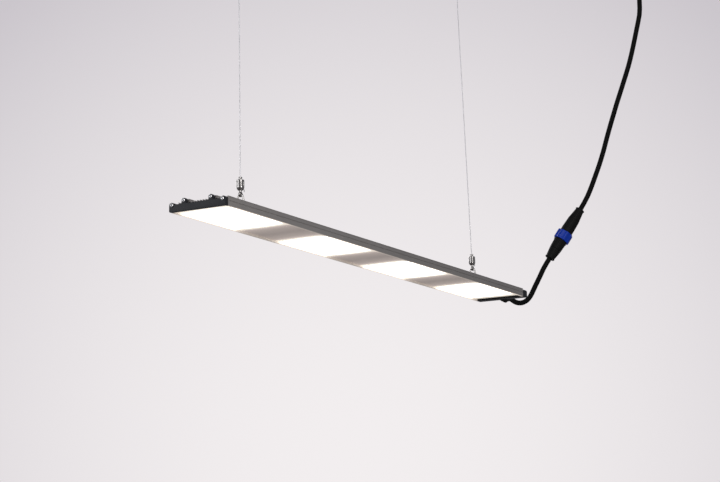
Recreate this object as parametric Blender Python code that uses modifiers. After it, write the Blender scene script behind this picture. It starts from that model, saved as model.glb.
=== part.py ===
"""Hanging LED grow light: a flat finned bar with four lit windows on its underside.

Two wire hangers and a supply cord hold it from a ceiling. The origin is on the ceiling plane, straight
above the middle of the bar. +X runs along the bar towards its cord end, +Y across it, +Z up.
"""

import math

import bmesh
import bpy
from mathutils import Matrix, Vector

MM = 0.001
GAP = 0.3 * MM

# Driving dimensions
EXTRUSION_LENGTH = 955.2 * MM
BAR_WIDTH = 100 * MM
HANG = 680 * MM  # from the ceiling plane down to the underside of the bar
FLOOR_Z = -HANG

# Section of the extruded bar, measured up from its underside
WALL = 4.0 * MM
UPPER_WALL = 2.4 * MM
WALL_HEIGHT = 15.0 * MM
BASE_LOW = 8.5 * MM
BASE_HIGH = 11.0 * MM
SLOT_LOW = 2.9 * MM
SLOT_HIGH = 4.9 * MM
SLOT_DEPTH = 1.2 * MM
FIN_TOP = 14.6 * MM
FIN_THICK = 1.4 * MM
FIN_PLACES = [y * MM for y in (5.0, 10.0, 15.0, 33.2, 38.2)]
RAIL_Y = 24.0 * MM
RAIL_STEM = 3.0 * MM
RAIL_HEAD = 5.0 * MM
RAIL_HEAD_LOW = 13.6 * MM
RAIL_TOP = 18.0 * MM

# Ends
PLATE_THICK = {"near": 6.0 * MM, "far": 16.0 * MM}
PLATE_TOP = {"near": 10.8 * MM, "far": 12.3 * MM}
GASKET_THICK = 0.8 * MM
PORT_RADIUS = 1.5 * MM
OUTER_SCREW = (45.0 * MM, 10.0 * MM)
INNER_SCREW = (RAIL_Y, 15.2 * MM)
PLATE_INNER_X = EXTRUSION_LENGTH / 2 + GASKET_THICK + 2 * GAP

# Light modules
MODULE_PLACES = [x * MM for x in (-387.7, -129.2, 129.2, 387.7)]
BOARD_LENGTH = 168 * MM
BOARD_WIDTH = 83 * MM
BOARD_THICK = 1.3 * MM
BOARD_TOP = BASE_LOW - GAP
CHIP = 3.5 * MM
CHIP_HEIGHT = 0.7 * MM
CHIP_COLUMNS = 8
CHIP_ROWS = 4
CHIP_PITCH = (20 * MM, 20.5 * MM)
WINDOW_LENGTH = 166 * MM
WINDOW_LOW = SLOT_LOW + GAP
WINDOW_HIGH = SLOT_HIGH - GAP
WINDOW_HALF_WIDTH = BAR_WIDTH / 2 - WALL + SLOT_DEPTH - GAP
BLOCK_LENGTH = 4.5 * MM

# Wire hangers
HANGER_PLACES = {"near": -375.7 * MM, "far": 370.4 * MM}
HANGER_LEAN = {"near": math.radians(0.74), "far": math.radians(2.2)}
LEAN_HEADING = Vector((-0.515, 0.857, 0.0))
EYE_Z = 41.5 * MM
STIRRUP_RADIUS = 1.5 * MM
STIRRUP_HALF = 8.0 * MM
STIRRUP_FOOT = 19.4 * MM
STIRRUP_KNEE = 22.8 * MM
STIRRUP_BEND = 4.2 * MM
WIRE_RADIUS = 0.7 * MM
SADDLE_LENGTH = 14 * MM
SADDLE_LOW = 19.0 * MM
SADDLE_TOP = 22 * MM
STIRRUP_HOLE_X = -3 * MM
BASE_BORE_Z = -8 * MM

# Supply cord, its coupler and the gland
CORD_RADIUS = 4.9 * MM
GLAND_Z = 6.5 * MM
COUPLER_LOW = Vector((645.9, -27.9, 100.7)) * MM
COUPLER_HIGH = Vector((683.5, -77.9, 196.9)) * MM
COUPLER_LOW_REACH = 52.2 * MM  # from the locking ring's middle to the lower end
ROSE_PLACE = Vector((761.4, -189.2, 0)) * MM

# Routes of the two cords, in millimetres from the middle of the bar's underside
PIGTAIL_ROUTE = [
    (497.2, 0.0, 6.5),
    (510.7, 0.0, 6.5),
    (524.3, 0.4, 6.3),
    (537.7, 1.8, 5.3),
    (551.1, 2.5, 3.7),
    (564.5, 0.8, 3.4),
    (577.3, -2.5, 6.3),
    (588.7, -5.9, 12.9),
    (598.6, -7.7, 22.0),
    (607.3, -8.8, 32.3),
    (615.4, -10.1, 43.1),
    (623.0, -12.1, 54.1),
    (629.9, -14.6, 65.5),
    (635.8, -17.7, 77.3),
    (641.0, -22.2, 88.9),
]
SUPPLY_ROUTE = [
    (692.3, -90.4, 223.1),
    (697.9, -98.4, 245.1),
    (703.4, -106.2, 269.7),
    (708.6, -113.7, 294.3),
    (713.5, -120.7, 320.5),
    (717.7, -126.7, 346.2),
    (722.0, -133.0, 371.3),
    (726.5, -139.4, 395.9),
    (731.1, -146.0, 420.8),
    (736.1, -153.1, 445.9),
    (741.0, -160.0, 471.0),
    (745.7, -166.8, 496.1),
    (749.7, -172.6, 521.4),
    (753.3, -177.6, 546.7),
    (756.7, -182.4, 572.1),
    (759.2, -186.0, 591.0),
    (760.8, -188.3, 604.5),
    (761.4, -189.2, 618.0),
    (761.4, -189.2, 635.0),
    (761.4, -189.2, 655.0),
    (761.4, -189.2, 674.0),
]

SEGMENTS = 16
FINE_SEGMENTS = 20


def clear_scene():
    for obj in list(bpy.data.objects):
        bpy.data.objects.remove(obj, do_unlink=True)


def collection(name, helper=False):
    made = bpy.data.collections.new(name)
    made.hide_render = helper
    bpy.context.scene.collection.children.link(made)
    return made


def material(name, colour, metallic=0.0, roughness=0.5, glow=0.0):
    made = bpy.data.materials.new(name)
    made.use_nodes = True
    shader = made.node_tree.nodes["Principled BSDF"]
    shader.inputs["Base Color"].default_value = (*colour, 1.0)
    shader.inputs["Metallic"].default_value = metallic
    shader.inputs["Roughness"].default_value = roughness
    shader.inputs["Emission Color"].default_value = (*colour, 1.0)
    shader.inputs["Emission Strength"].default_value = glow
    made.diffuse_color = (*colour, 1.0)
    return made


clear_scene()
LIGHT = collection("led_grow_light")
CUTTERS = collection("cutters", helper=True)

ANODISED = material("anodised_aluminium", (0.42, 0.42, 0.43), 0.9, 0.42)
PLATE_BLACK = material("black_end_plate", (0.03, 0.032, 0.038), 0.0, 0.45)
RUBBER = material("black_rubber", (0.02, 0.02, 0.02), 0.0, 0.7)
STEEL = material("bright_steel", (0.75, 0.75, 0.76), 1.0, 0.2)
CHROME = material("nickel_plate", (0.8, 0.79, 0.78), 1.0, 0.12)
OPAL = material("opal_window", (1.0, 0.93, 0.82), 0.0, 0.35, 1.0)
BOARD = material("white_board", (0.85, 0.85, 0.82), 0.0, 0.5)
GREY_PLATE = material("grey_plate", (0.36, 0.34, 0.33), 0.2, 0.55)
RIBBON = material("white_ribbon", (0.8, 0.8, 0.78), 0.0, 0.5)
BLACK_NYLON = material("black_nylon", (0.025, 0.025, 0.027), 0.0, 0.45)
BLUE_NYLON = material("blue_nylon", (0.01, 0.06, 0.5), 0.0, 0.35)
WHITE_COVER = material("white_cover", (0.85, 0.85, 0.84), 0.0, 0.4)


# Modelling helpers


def add(name, data, mat, place=None, helper=False):
    """A new object of this mesh or curve, in the light's collection or among the cutters."""
    obj = bpy.data.objects.new(name, data)
    (CUTTERS if helper else LIGHT).objects.link(obj)
    if helper:
        obj.hide_render = True
        obj.display_type = "WIRE"
    else:
        data.materials.append(mat)
    if place is not None:
        obj.matrix_world = place
    return obj


def baked(obj, round_piece=True):
    """The object with its modifiers or its curve turned into a plain welded mesh."""
    bpy.context.view_layer.update()
    graph = bpy.context.evaluated_depsgraph_get()
    mesh = bpy.data.meshes.new_from_object(obj.evaluated_get(graph))
    bm = bmesh.new()
    bm.from_mesh(mesh)
    bmesh.ops.remove_doubles(bm, verts=bm.verts, dist=0.001 * MM)
    bm.to_mesh(mesh)
    bm.free()
    mesh.name = obj.name
    if round_piece:
        mesh.shade_smooth()
        mesh.set_sharp_from_angle(angle=math.radians(35))
    obj.modifiers.clear()
    if obj.type == "MESH":
        obj.data = mesh
        return obj
    name = obj.name
    place = obj.matrix_world.copy()
    group = obj.users_collection[0]
    bpy.data.objects.remove(obj, do_unlink=True)
    made = bpy.data.objects.new(name, mesh)
    group.objects.link(made)
    made.matrix_world = place
    return made


def copy_of(obj, name, place):
    """Another object with the same mesh, somewhere else."""
    made = bpy.data.objects.new(name, obj.data)
    LIGHT.objects.link(made)
    made.matrix_world = place
    return made


def boolean(obj, other, operation="DIFFERENCE"):
    modifier = obj.modifiers.new(operation.lower(), "BOOLEAN")
    modifier.operation = operation
    modifier.object = other
    return obj


def box(name, low, high, mat):
    """A box between two corners, its origin at its centre."""
    low = Vector(low)
    high = Vector(high)
    bm = bmesh.new()
    bmesh.ops.create_cube(bm, size=1.0, matrix=Matrix.Diagonal((*(high - low), 1.0)))
    mesh = bpy.data.meshes.new(name)
    bm.to_mesh(mesh)
    bm.free()
    return add(name, mesh, mat, Matrix.Translation((low + high) / 2))


def turned(name, profile, mat, place, steps=SEGMENTS, closed=False, helper=False):
    """A turned piece about its local Z. The profile is (radius, height) in mm, down its outer side."""
    mesh = bpy.data.meshes.new(name)
    points = [(radius * MM, 0.0, height * MM) for radius, height in profile]
    edges = [(i, i + 1) for i in range(len(points) - 1)]
    if closed:
        edges.append((len(points) - 1, 0))
    mesh.from_pydata(points, edges, [])
    obj = add(name, mesh, mat, place, helper)
    screw = obj.modifiers.new("turn", "SCREW")
    screw.steps = steps
    screw.render_steps = steps
    screw.use_merge_vertices = True
    screw.merge_threshold = 0.02 * MM
    return baked(obj, round_piece=steps > 6)


def outline(name, loops, thickness, mat, place):
    """A flat outline in local XY, with any holes as further loops, made thick along local Z."""
    curve = bpy.data.curves.new(name, "CURVE")
    curve.dimensions = "2D"
    curve.fill_mode = "BOTH"
    curve.extrude = thickness / 2
    for loop in loops:
        spline = curve.splines.new("POLY")
        spline.points.add(len(loop) - 1)
        for point, (u, v) in zip(spline.points, loop):
            point.co = (u, v, 0.0, 1.0)
        spline.use_cyclic_u = True
    return baked(add(name, curve, mat, place), round_piece=False)


def tube(name, points, radius, mat, resolution=2):
    """A round bar or cord along these points."""
    curve = bpy.data.curves.new(name, "CURVE")
    curve.dimensions = "3D"
    curve.bevel_depth = radius
    curve.bevel_resolution = resolution
    curve.use_fill_caps = True
    spline = curve.splines.new("POLY")
    spline.points.add(len(points) - 1)
    for point, co in zip(spline.points, points):
        point.co = (*co, 1.0)
    return add(name, curve, mat)


def circle(centre, radius, count=12):
    u, v = centre
    angles = [2 * math.pi * i / count for i in range(count)]
    return [(u + radius * math.cos(a), v + radius * math.sin(a)) for a in angles]


def arc(centre, radius, start, end, count):
    """Points along an arc, the angles in degrees."""
    u, v = centre
    angles = [math.radians(start + (end - start) * i / count) for i in range(count + 1)]
    return [(u + radius * math.cos(a), v + radius * math.sin(a)) for a in angles]


def mirrored(half):
    """A closed loop from its right half, which runs from the bottom's middle to the top's middle."""
    return half + [(-u, v) for u, v in reversed(half)]


def smooth_route(points, spacing):
    """Evenly spaced points on a Catmull-Rom curve through the route's own points."""
    path = [Vector(p) for p in points]
    path = [2 * path[0] - path[1], *path, 2 * path[-1] - path[-2]]
    fine = []
    for before, here, after, beyond in zip(path, path[1:], path[2:], path[3:]):
        for step in range(20):
            t = step / 20
            fine.append(
                0.5
                * (
                    2 * here
                    + (after - before) * t
                    + (2 * before - 5 * here + 4 * after - beyond) * t**2
                    + (3 * here - before - 3 * after + beyond) * t**3
                )
            )
    fine.append(path[-2])
    length = sum((b - a).length for a, b in zip(fine, fine[1:]))
    count = max(2, round(length / spacing))
    even = [fine[0]]
    walked = 0.0
    for a, b in zip(fine, fine[1:]):
        walked += (b - a).length
        if walked >= length * len(even) / count and len(even) < count:
            even.append(b)
    even.append(fine[-1])
    return even


def across(x):
    """The place of a cross-section outline: local X is +Y, local Y is up, and its thickness is along X."""
    return Matrix.Translation((x, 0, FLOOR_Z)) @ Matrix(
        ((0, 0, 1, 0), (1, 0, 0, 0), (0, 1, 0, 0), (0, 0, 0, 1))
    )


def along(origin, direction):
    """A place at the origin whose local Z points along the direction."""
    turn = Vector((0, 0, 1)).rotation_difference(Vector(direction))
    return Matrix.Translation(origin) @ turn.to_matrix().to_4x4()


# The bar: extrusion, end plates, gaskets and their screws


def fin(y):
    half = FIN_THICK / 2
    return [(y + half, BASE_HIGH), (y + half, FIN_TOP), (y - half, FIN_TOP), (y - half, BASE_HIGH)]


def rail():
    """The mushroom-shaped rail that the hangers' shoes grip, traversed from its outer foot."""
    return [
        (RAIL_Y + RAIL_STEM, BASE_HIGH),
        (RAIL_Y + RAIL_STEM, RAIL_HEAD_LOW),
        (RAIL_Y + RAIL_HEAD, RAIL_HEAD_LOW),
        (RAIL_Y + RAIL_HEAD, RAIL_TOP),
        (RAIL_Y - RAIL_HEAD, RAIL_TOP),
        (RAIL_Y - RAIL_HEAD, RAIL_HEAD_LOW),
        (RAIL_Y - RAIL_STEM, RAIL_HEAD_LOW),
        (RAIL_Y - RAIL_STEM, BASE_HIGH),
    ]


def extrusion_half():
    """The right half of the extrusion's section."""
    side = BAR_WIDTH / 2
    inner = side - WALL
    upper = side - UPPER_WALL
    edge = 0.3 * MM
    groove = 0.8 * MM
    block_low = 7.9 * MM
    block_high = 12.4 * MM
    block_in = 42.6 * MM
    mouth = 0.6 * MM
    port_y, port_z = OUTER_SCREW
    opening = math.degrees(math.asin(mouth / PORT_RADIUS))
    port = arc(OUTER_SCREW, PORT_RADIUS, 90 - opening, opening - 270, 10)
    return [
        (0.0, BASE_LOW),
        (block_in - 0.6 * MM, BASE_LOW),
        (block_in, block_low),
        (inner, block_low),
        (inner, SLOT_HIGH),
        (inner + SLOT_DEPTH, SLOT_HIGH),
        (inner + SLOT_DEPTH, SLOT_LOW),
        (inner, SLOT_LOW),
        (inner, edge),
        (inner + edge, 0.0),
        (side - edge, 0.0),
        (side, edge),
        (side, 6.9 * MM),
        (side - groove, 7.3 * MM),
        (side - groove, 8.2 * MM),
        (side, 8.6 * MM),
        (side, 13.1 * MM),
        (side - edge, 13.3 * MM),
        (side - edge, 13.7 * MM),
        (side, 13.9 * MM),
        (side, WALL_HEIGHT - edge),
        (side - edge, WALL_HEIGHT),
        (upper, WALL_HEIGHT),
        (upper, block_high),
        (port_y + mouth, block_high),
        *port,
        (port_y - mouth, block_high),
        (block_in, block_high),
        (block_in - 0.6 * MM, BASE_HIGH),
        *fin(FIN_PLACES[4]),
        *fin(FIN_PLACES[3]),
        *rail(),
        *fin(FIN_PLACES[2]),
        *fin(FIN_PLACES[1]),
        *fin(FIN_PLACES[0]),
        (FIN_THICK / 2, BASE_HIGH),
        (FIN_THICK / 2, FIN_TOP),
    ]


def plate_half(top):
    """The right half of an end plate with its top at the given height and a round boss for each screw."""
    side = BAR_WIDTH / 2
    corner = 1.0 * MM
    boss = 3.8 * MM
    boss_z = INNER_SCREW[1]
    ear = 4.0 * MM
    ear_z = OUTER_SCREW[1]
    ear_end = 180 - math.degrees(math.asin((top - ear_z) / ear))
    return [
        (side - corner, 0.0),
        *arc((side - corner, corner), corner, -60, 0, 2),
        *arc((side - ear, ear_z), ear, 0, ear_end, 8),
        (RAIL_Y + boss + corner, top),
        (RAIL_Y + boss, top + corner),
        *arc((RAIL_Y, boss_z), boss, 0, 180, 10),
        (RAIL_Y - boss, top + corner),
        (RAIL_Y - boss - corner, top),
    ]


def screw_holes(places, radius):
    return [circle((side * y, z), radius) for y, z in places for side in (1, -1)]


def make_bar():
    ports = [circle((side * RAIL_Y, INNER_SCREW[1]), PORT_RADIUS) for side in (1, -1)]
    section = [mirrored(extrusion_half()), *ports]
    outline("heatsink_extrusion", section, EXTRUSION_LENGTH, ANODISED, across(0.0))
    clearance = 1.7 * MM
    gland_hole = circle((0.0, GLAND_Z), 4.7 * MM, 16)
    gasket_side = BAR_WIDTH / 2 - 0.5 * MM
    gasket_low = 0.5 * MM
    gasket_high = 12.0 * MM
    gasket = [
        (-gasket_side, gasket_low),
        (gasket_side, gasket_low),
        (gasket_side, gasket_high),
        (-gasket_side, gasket_high),
    ]
    head_profile = [(0, 2.3), (1.1, 2.3), (2.3, 1.8), (3.0, 0.9), (3.1, 0.0), (1.2, 0.0)]
    for end, way in (("near", -1), ("far", 1)):
        thick = PLATE_THICK[end]
        plate_x = way * (PLATE_INNER_X + thick / 2)
        shank = -thick / MM - 6
        holes = screw_holes((OUTER_SCREW, INNER_SCREW), clearance)
        gasket_holes = screw_holes((OUTER_SCREW,), clearance)
        if end == "far":
            holes.append(gland_hole)
            gasket_holes.append(gland_hole)
        plate_loops = [mirrored(plate_half(PLATE_TOP[end])), *holes]
        outline(f"end_plate_{end}", plate_loops, thick, PLATE_BLACK, across(plate_x))
        gasket_x = way * (EXTRUSION_LENGTH + GASKET_THICK + 2 * GAP) / 2
        outline(f"end_gasket_{end}", [gasket, *gasket_holes], GASKET_THICK, RUBBER, across(gasket_x))
        number = 0
        for y, z in (OUTER_SCREW, INNER_SCREW):
            for side in (1, -1):
                number += 1
                seat = (way * (PLATE_INNER_X + thick + GAP), side * y, FLOOR_Z + z)
                profile = [*head_profile, (1.2, shank), (0, shank - 0.6)]
                turned(f"end_screw_{end}_{number}", profile, STEEL, along(seat, (way, 0, 0)), steps=12)


# The light modules


def make_modules():
    half_window = WINDOW_LENGTH / 2
    bar_end = EXTRUSION_LENGTH / 2 - GAP
    for number, x in enumerate(MODULE_PLACES, 1):
        make_board(f"led_board_{number}", x)
        low_x = -bar_end if number == 1 else x - half_window
        high_x = bar_end if number == len(MODULE_PLACES) else x + half_window
        low = (low_x, -WINDOW_HALF_WIDTH, FLOOR_Z + WINDOW_LOW)
        high = (high_x, WINDOW_HALF_WIDTH, FLOOR_Z + WINDOW_HIGH)
        box(f"window_{number}", low, high, OPAL)
    for number, (x, next_x) in enumerate(zip(MODULE_PLACES, MODULE_PLACES[1:]), 1):
        low = (x + half_window + GAP, -WINDOW_HALF_WIDTH, FLOOR_Z + WINDOW_LOW)
        high = (next_x - half_window - GAP, WINDOW_HALF_WIDTH, FLOOR_Z + WINDOW_HIGH)
        box(f"blanking_plate_{number}", low, high, GREY_PLATE)
        lead_low = (x + BOARD_LENGTH / 2 + GAP, -5 * MM, FLOOR_Z + BOARD_TOP - 1.1 * MM)
        lead_high = (next_x - BOARD_LENGTH / 2 - GAP, 5 * MM, FLOOR_Z + BOARD_TOP - 0.2 * MM)
        box(f"link_lead_{number}", lead_low, lead_high, RIBBON)
    block_x = MODULE_PLACES[-1] + BOARD_LENGTH / 2 + GAP
    block_low = (block_x, -9 * MM, FLOOR_Z + 5.0 * MM)
    block_high = (block_x + BLOCK_LENGTH, 9 * MM, FLOOR_Z + BOARD_TOP)
    box("terminal_block", block_low, block_high, BLACK_NYLON)


def make_board(name, x):
    """A circuit board with its rows of light-emitting chips on its underside."""
    top = FLOOR_Z + BOARD_TOP
    low = (x - BOARD_LENGTH / 2, -BOARD_WIDTH / 2, top - BOARD_THICK)
    board = box(name, low, (x + BOARD_LENGTH / 2, BOARD_WIDTH / 2, top), BOARD)
    sunk = 0.3 * MM
    depth = CHIP_HEIGHT + sunk
    bm = bmesh.new()
    for column in range(CHIP_COLUMNS):
        for row in range(CHIP_ROWS):
            chip_x = x + (column - (CHIP_COLUMNS - 1) / 2) * CHIP_PITCH[0]
            chip_y = (row - (CHIP_ROWS - 1) / 2) * CHIP_PITCH[1]
            centre = (chip_x, chip_y, top - BOARD_THICK + sunk - depth / 2)
            size = Matrix.Diagonal((CHIP, CHIP, depth, 1.0))
            bmesh.ops.create_cube(bm, size=1.0, matrix=Matrix.Translation(centre) @ size)
    mesh = bpy.data.meshes.new(f"{name}_chips")
    bm.to_mesh(mesh)
    bm.free()
    chips = add(f"{name}_chips", mesh, None, helper=True)
    baked(boolean(board, chips, "UNION"), round_piece=False)


# The wire hangers


def saddle_mesh():
    """A plate over the bar with a C-shaped grip for each rail, bored for the stirrup and the clamp screws."""
    outer = 7.2 * MM
    head = RAIL_HEAD + GAP
    lip = RAIL_STEM + GAP
    lip_low = RAIL_HEAD_LOW - 1.7 * MM
    head_low = RAIL_HEAD_LOW - GAP
    head_high = RAIL_TOP + GAP
    corner = 1.0 * MM
    half = [
        (RAIL_Y - outer, SADDLE_LOW),
        (RAIL_Y - outer, lip_low),
        (RAIL_Y - lip, lip_low),
        (RAIL_Y - lip, head_low),
        (RAIL_Y - head, head_low),
        (RAIL_Y - head, head_high),
        (RAIL_Y + head, head_high),
        (RAIL_Y + head, head_low),
        (RAIL_Y + lip, head_low),
        (RAIL_Y + lip, lip_low),
        (RAIL_Y + outer, lip_low),
        (RAIL_Y + outer, SADDLE_TOP - corner),
        (RAIL_Y + outer - corner, SADDLE_TOP),
    ]
    saddle = outline("hanger_saddle_near", [mirrored(half)], SADDLE_LENGTH, STEEL, across(0.0))
    depth = 7.0
    bores = (
        (STIRRUP_HOLE_X, STIRRUP_HALF, 18.4 * MM, 1.85),
        (-STIRRUP_HOLE_X, RAIL_Y, 17.0 * MM, 1.3),
    )
    for x, y, low, radius in bores:
        for side in (1, -1):
            profile = [(0, depth), (radius, depth), (radius, 0), (0, 0)]
            place = Matrix.Translation((x, side * y, FLOOR_Z + low))
            cutter = turned(f"saddle_bore_{radius}_{side}", profile, None, place, helper=True)
            boolean(saddle, cutter)
    return baked(saddle, round_piece=False)


def stirrup_points(x):
    """The bent wire from the saddle up over the eye and down into the saddle again."""
    apex = EYE_Z + 0.2 * MM
    right = [(STIRRUP_HALF, STIRRUP_FOOT), (STIRRUP_HALF, STIRRUP_KNEE)]
    right += arc((0.0, apex - STIRRUP_BEND), STIRRUP_BEND, 15, 90, 6)
    loop = right + [(-y, z) for y, z in reversed(right[:-1])]
    return [(x, y, FLOOR_Z + z) for y, z in loop]


def stud_mesh():
    """The eye that hangs on the stirrup, with the headed neck that the gripper swivels on, at the origin."""
    upper = [(2.1, 1.0), (2.6, 1.8), (3.6, 1.8), (4.3, 1.0)]
    eye_profile = upper + [(r, -h) for r, h in reversed(upper)]
    neck_profile = [(0, 9.5), (3.4, 9.5), (3.6, 9.3), (3.6, 8.2), (2.0, 8.2), (2.0, 3.2), (0, 3.2)]
    stud = turned("swivel_stud_near", neck_profile, CHROME, Matrix.Identity(4))
    turn = Matrix.Rotation(math.radians(90), 4, "X")
    eye = turned("stud_eye", eye_profile, None, turn, steps=FINE_SEGMENTS, closed=True, helper=True)
    boolean(stud, eye, "UNION")
    return baked(stud)


def spring_points(place):
    radius = 3.2 * MM
    low = 10.1 * MM
    high = 17.5 * MM
    turns = 4
    count = turns * 10
    points = []
    for i in range(count + 1):
        angle = 2 * math.pi * turns * i / count
        height = low + (high - low) * i / count
        points.append(place @ Vector((radius * math.cos(angle), radius * math.sin(angle), height)))
    return points


BARREL_PROFILE = [
    (5.2, 22.0),
    (6.0, 21.2),
    (6.0, 11.2),
    (5.6, 9.2),
    (4.4, 7.1),
    (3.4, 6.0),
    (2.4, 6.0),
    (2.4, 7.7),
    (4.2, 7.9),
    (4.2, 20.2),
    (2.8, 20.2),
    (2.8, 22.0),
]
NOZZLE_PROFILE = [
    (2.4, 26.5),
    (3.0, 25.9),
    (3.0, 24.5),
    (2.4, 24.4),
    (2.4, 19.9),
    (3.7, 19.9),
    (3.7, 18.0),
    (2.4, 18.0),
    (2.4, 14.5),
    (1.1, 14.5),
    (1.1, 26.5),
]
ANCHOR_PROFILE = [
    (0, 0),
    (16.0, 0),
    (16.0, -2.4),
    (15.4, -3.0),
    (4.5, -3.0),
    (3.5, -4.0),
    (3.5, -12.0),
    (1.3, -12.0),
    (1.3, -4.0),
    (0, -4.0),
]
COVER_PROFILE = [
    (16.8, -0.3),
    (18.0, -0.3),
    (18.0, -11.0),
    (17.0, -13.2),
    (14.5, -14.2),
    (1.6, -14.2),
    (1.6, -12.6),
    (14.0, -12.6),
    (16.0, -11.5),
    (16.8, -10.4),
]


def make_hanger(end, x, saddle, stud):
    """One hanger: its saddle and stud put in place, with its stirrup, gripper, wire and ceiling pieces."""
    eye = Vector((x, 0, FLOOR_Z + EYE_Z))
    lean = HANGER_LEAN[end]
    up = LEAN_HEADING.normalized() * math.sin(lean) + Vector((0, 0, math.cos(lean)))
    place = along(eye, up)
    saddle.matrix_world = Matrix.Translation((x - STIRRUP_HOLE_X, 0, 0)) @ saddle.matrix_world
    stud.matrix_world = place
    tube(f"hanger_bail_{end}", stirrup_points(x), STIRRUP_RADIUS, CHROME)
    turned(f"gripper_barrel_{end}", BARREL_PROFILE, CHROME, place, steps=FINE_SEGMENTS, closed=True)
    turned(f"release_nozzle_{end}", NOZZLE_PROFILE, CHROME, place, closed=True)
    tube(f"gripper_spring_{end}", spring_points(place), 0.35 * MM, STEEL, resolution=0)
    anchor_reach = (BASE_BORE_Z - eye.z) / up.z
    anchor = eye + up * anchor_reach
    anchor.z = 0.0
    wire_low = eye + up * 11 * MM
    wire_high = eye + up * (anchor_reach + 3 * MM)
    tube(f"suspension_wire_{end}", [wire_low, (wire_low + wire_high) / 2, wire_high], WIRE_RADIUS, STEEL)
    anchor_place = Matrix.Translation(anchor)
    turned(f"ceiling_anchor_{end}", ANCHOR_PROFILE, STEEL, anchor_place, steps=FINE_SEGMENTS)
    turned(f"ceiling_cover_{end}", COVER_PROFILE, CHROME, anchor_place, steps=FINE_SEGMENTS, closed=True)


def make_hangers():
    """Both hangers: a saddle on the rails, and a swivelling wire gripper with its wire and ceiling anchor."""
    saddle = saddle_mesh()
    far_saddle = copy_of(saddle, "hanger_saddle_far", saddle.matrix_world)
    stud = stud_mesh()
    far_stud = copy_of(stud, "swivel_stud_far", stud.matrix_world)
    make_hanger("near", HANGER_PLACES["near"], saddle, stud)
    make_hanger("far", HANGER_PLACES["far"], far_saddle, far_stud)


# The gland, the coupler and the two cords


GLAND_PROFILE = [
    (6.3, 24),
    (7, 13),
    (7.2, 12),
    (7.2, 2.3),
    (9.5, 2.3),
    (9.5, 0.3),
    (4.4, 0.3),
    (4.4, -6.9),
    (3, -6.9),
    (3, 1.4),
    (5.3, 1.7),
    (5.5, 24),
]
GLAND_NUT_PROFILE = [
    (8.7, 11.8),
    (9.8, 11.8),
    (11, 10.6),
    (11, 3),
    (10.6, 2.6),
    (8.7, 2.6),
]
SOCKET_PROFILE = [
    (0, 2),
    (10.1, 2),
    (10.1, -7.2),
    (12.2, -8.6),
    (13.3, -10.5),
    (13.3, -13.3),
    (11.8, -30.7),
    (9.2, -30.7),
    (9.1, -38.9),
    (5.3, -38.9),
    (5.3, -20.5),
    (0, -20.5),
]
LOWER_NUT_PROFILE = [
    (9.6, -31.1),
    (11.7, -31.1),
    (9.1, -49.6),
    (9.8, -50.4),
    (9.8, -51.8),
    (9.2, -52.2),
    (5.3, -52.2),
    (5.3, -41),
    (9.6, -39.8),
]
PLUG_PROFILE = [
    (0, 24.6),
    (5.3, 24.6),
    (5.3, 49.2),
    (9, 49.2),
    (9.3, 40),
    (11.6, 40),
    (12.5, 13.3),
    (12.5, -6.8),
    (10.5, -6.8),
    (10.5, 2.7),
    (0, 2.7),
]
UPPER_NUT_PROFILE = [
    (8.6, 65.4),
    (9.2, 65),
    (9.2, 63.8),
    (8.4, 62.9),
    (11.5, 40.3),
    (9.7, 40.3),
    (9.4, 50),
    (5.3, 51.2),
    (5.3, 65.4),
]
ROSE_PROFILE = [
    (26, 0),
    (28, 0),
    (28, -13),
    (25, -17),
    (8, -18),
    (5.4, -18),
    (5.4, -16.2),
    (24.2, -15.2),
    (26, -12.2),
]
ROSE_NUT_PROFILE = [
    (8.6, -18.3),
    (9.4, -19.1),
    (9.4, -27.5),
    (7.4, -31.5),
    (5.4, -31.5),
    (5.4, -18.3),
]


def on_bar(points):
    """Route points in millimetres from the bar's underside, as places in metres."""
    return [Vector(p) * MM + Vector((0, 0, FLOOR_Z)) for p in points]


def ring_outline():
    """The locking ring's lobed outside."""
    lobes = 8
    count = lobes * 6
    points = []
    for i in range(count):
        angle = 2 * math.pi * i / count
        radius = (15.5 + 0.7 * math.cos(lobes * angle)) * MM
        points.append((radius * math.cos(angle), radius * math.sin(angle)))
    return points


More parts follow.
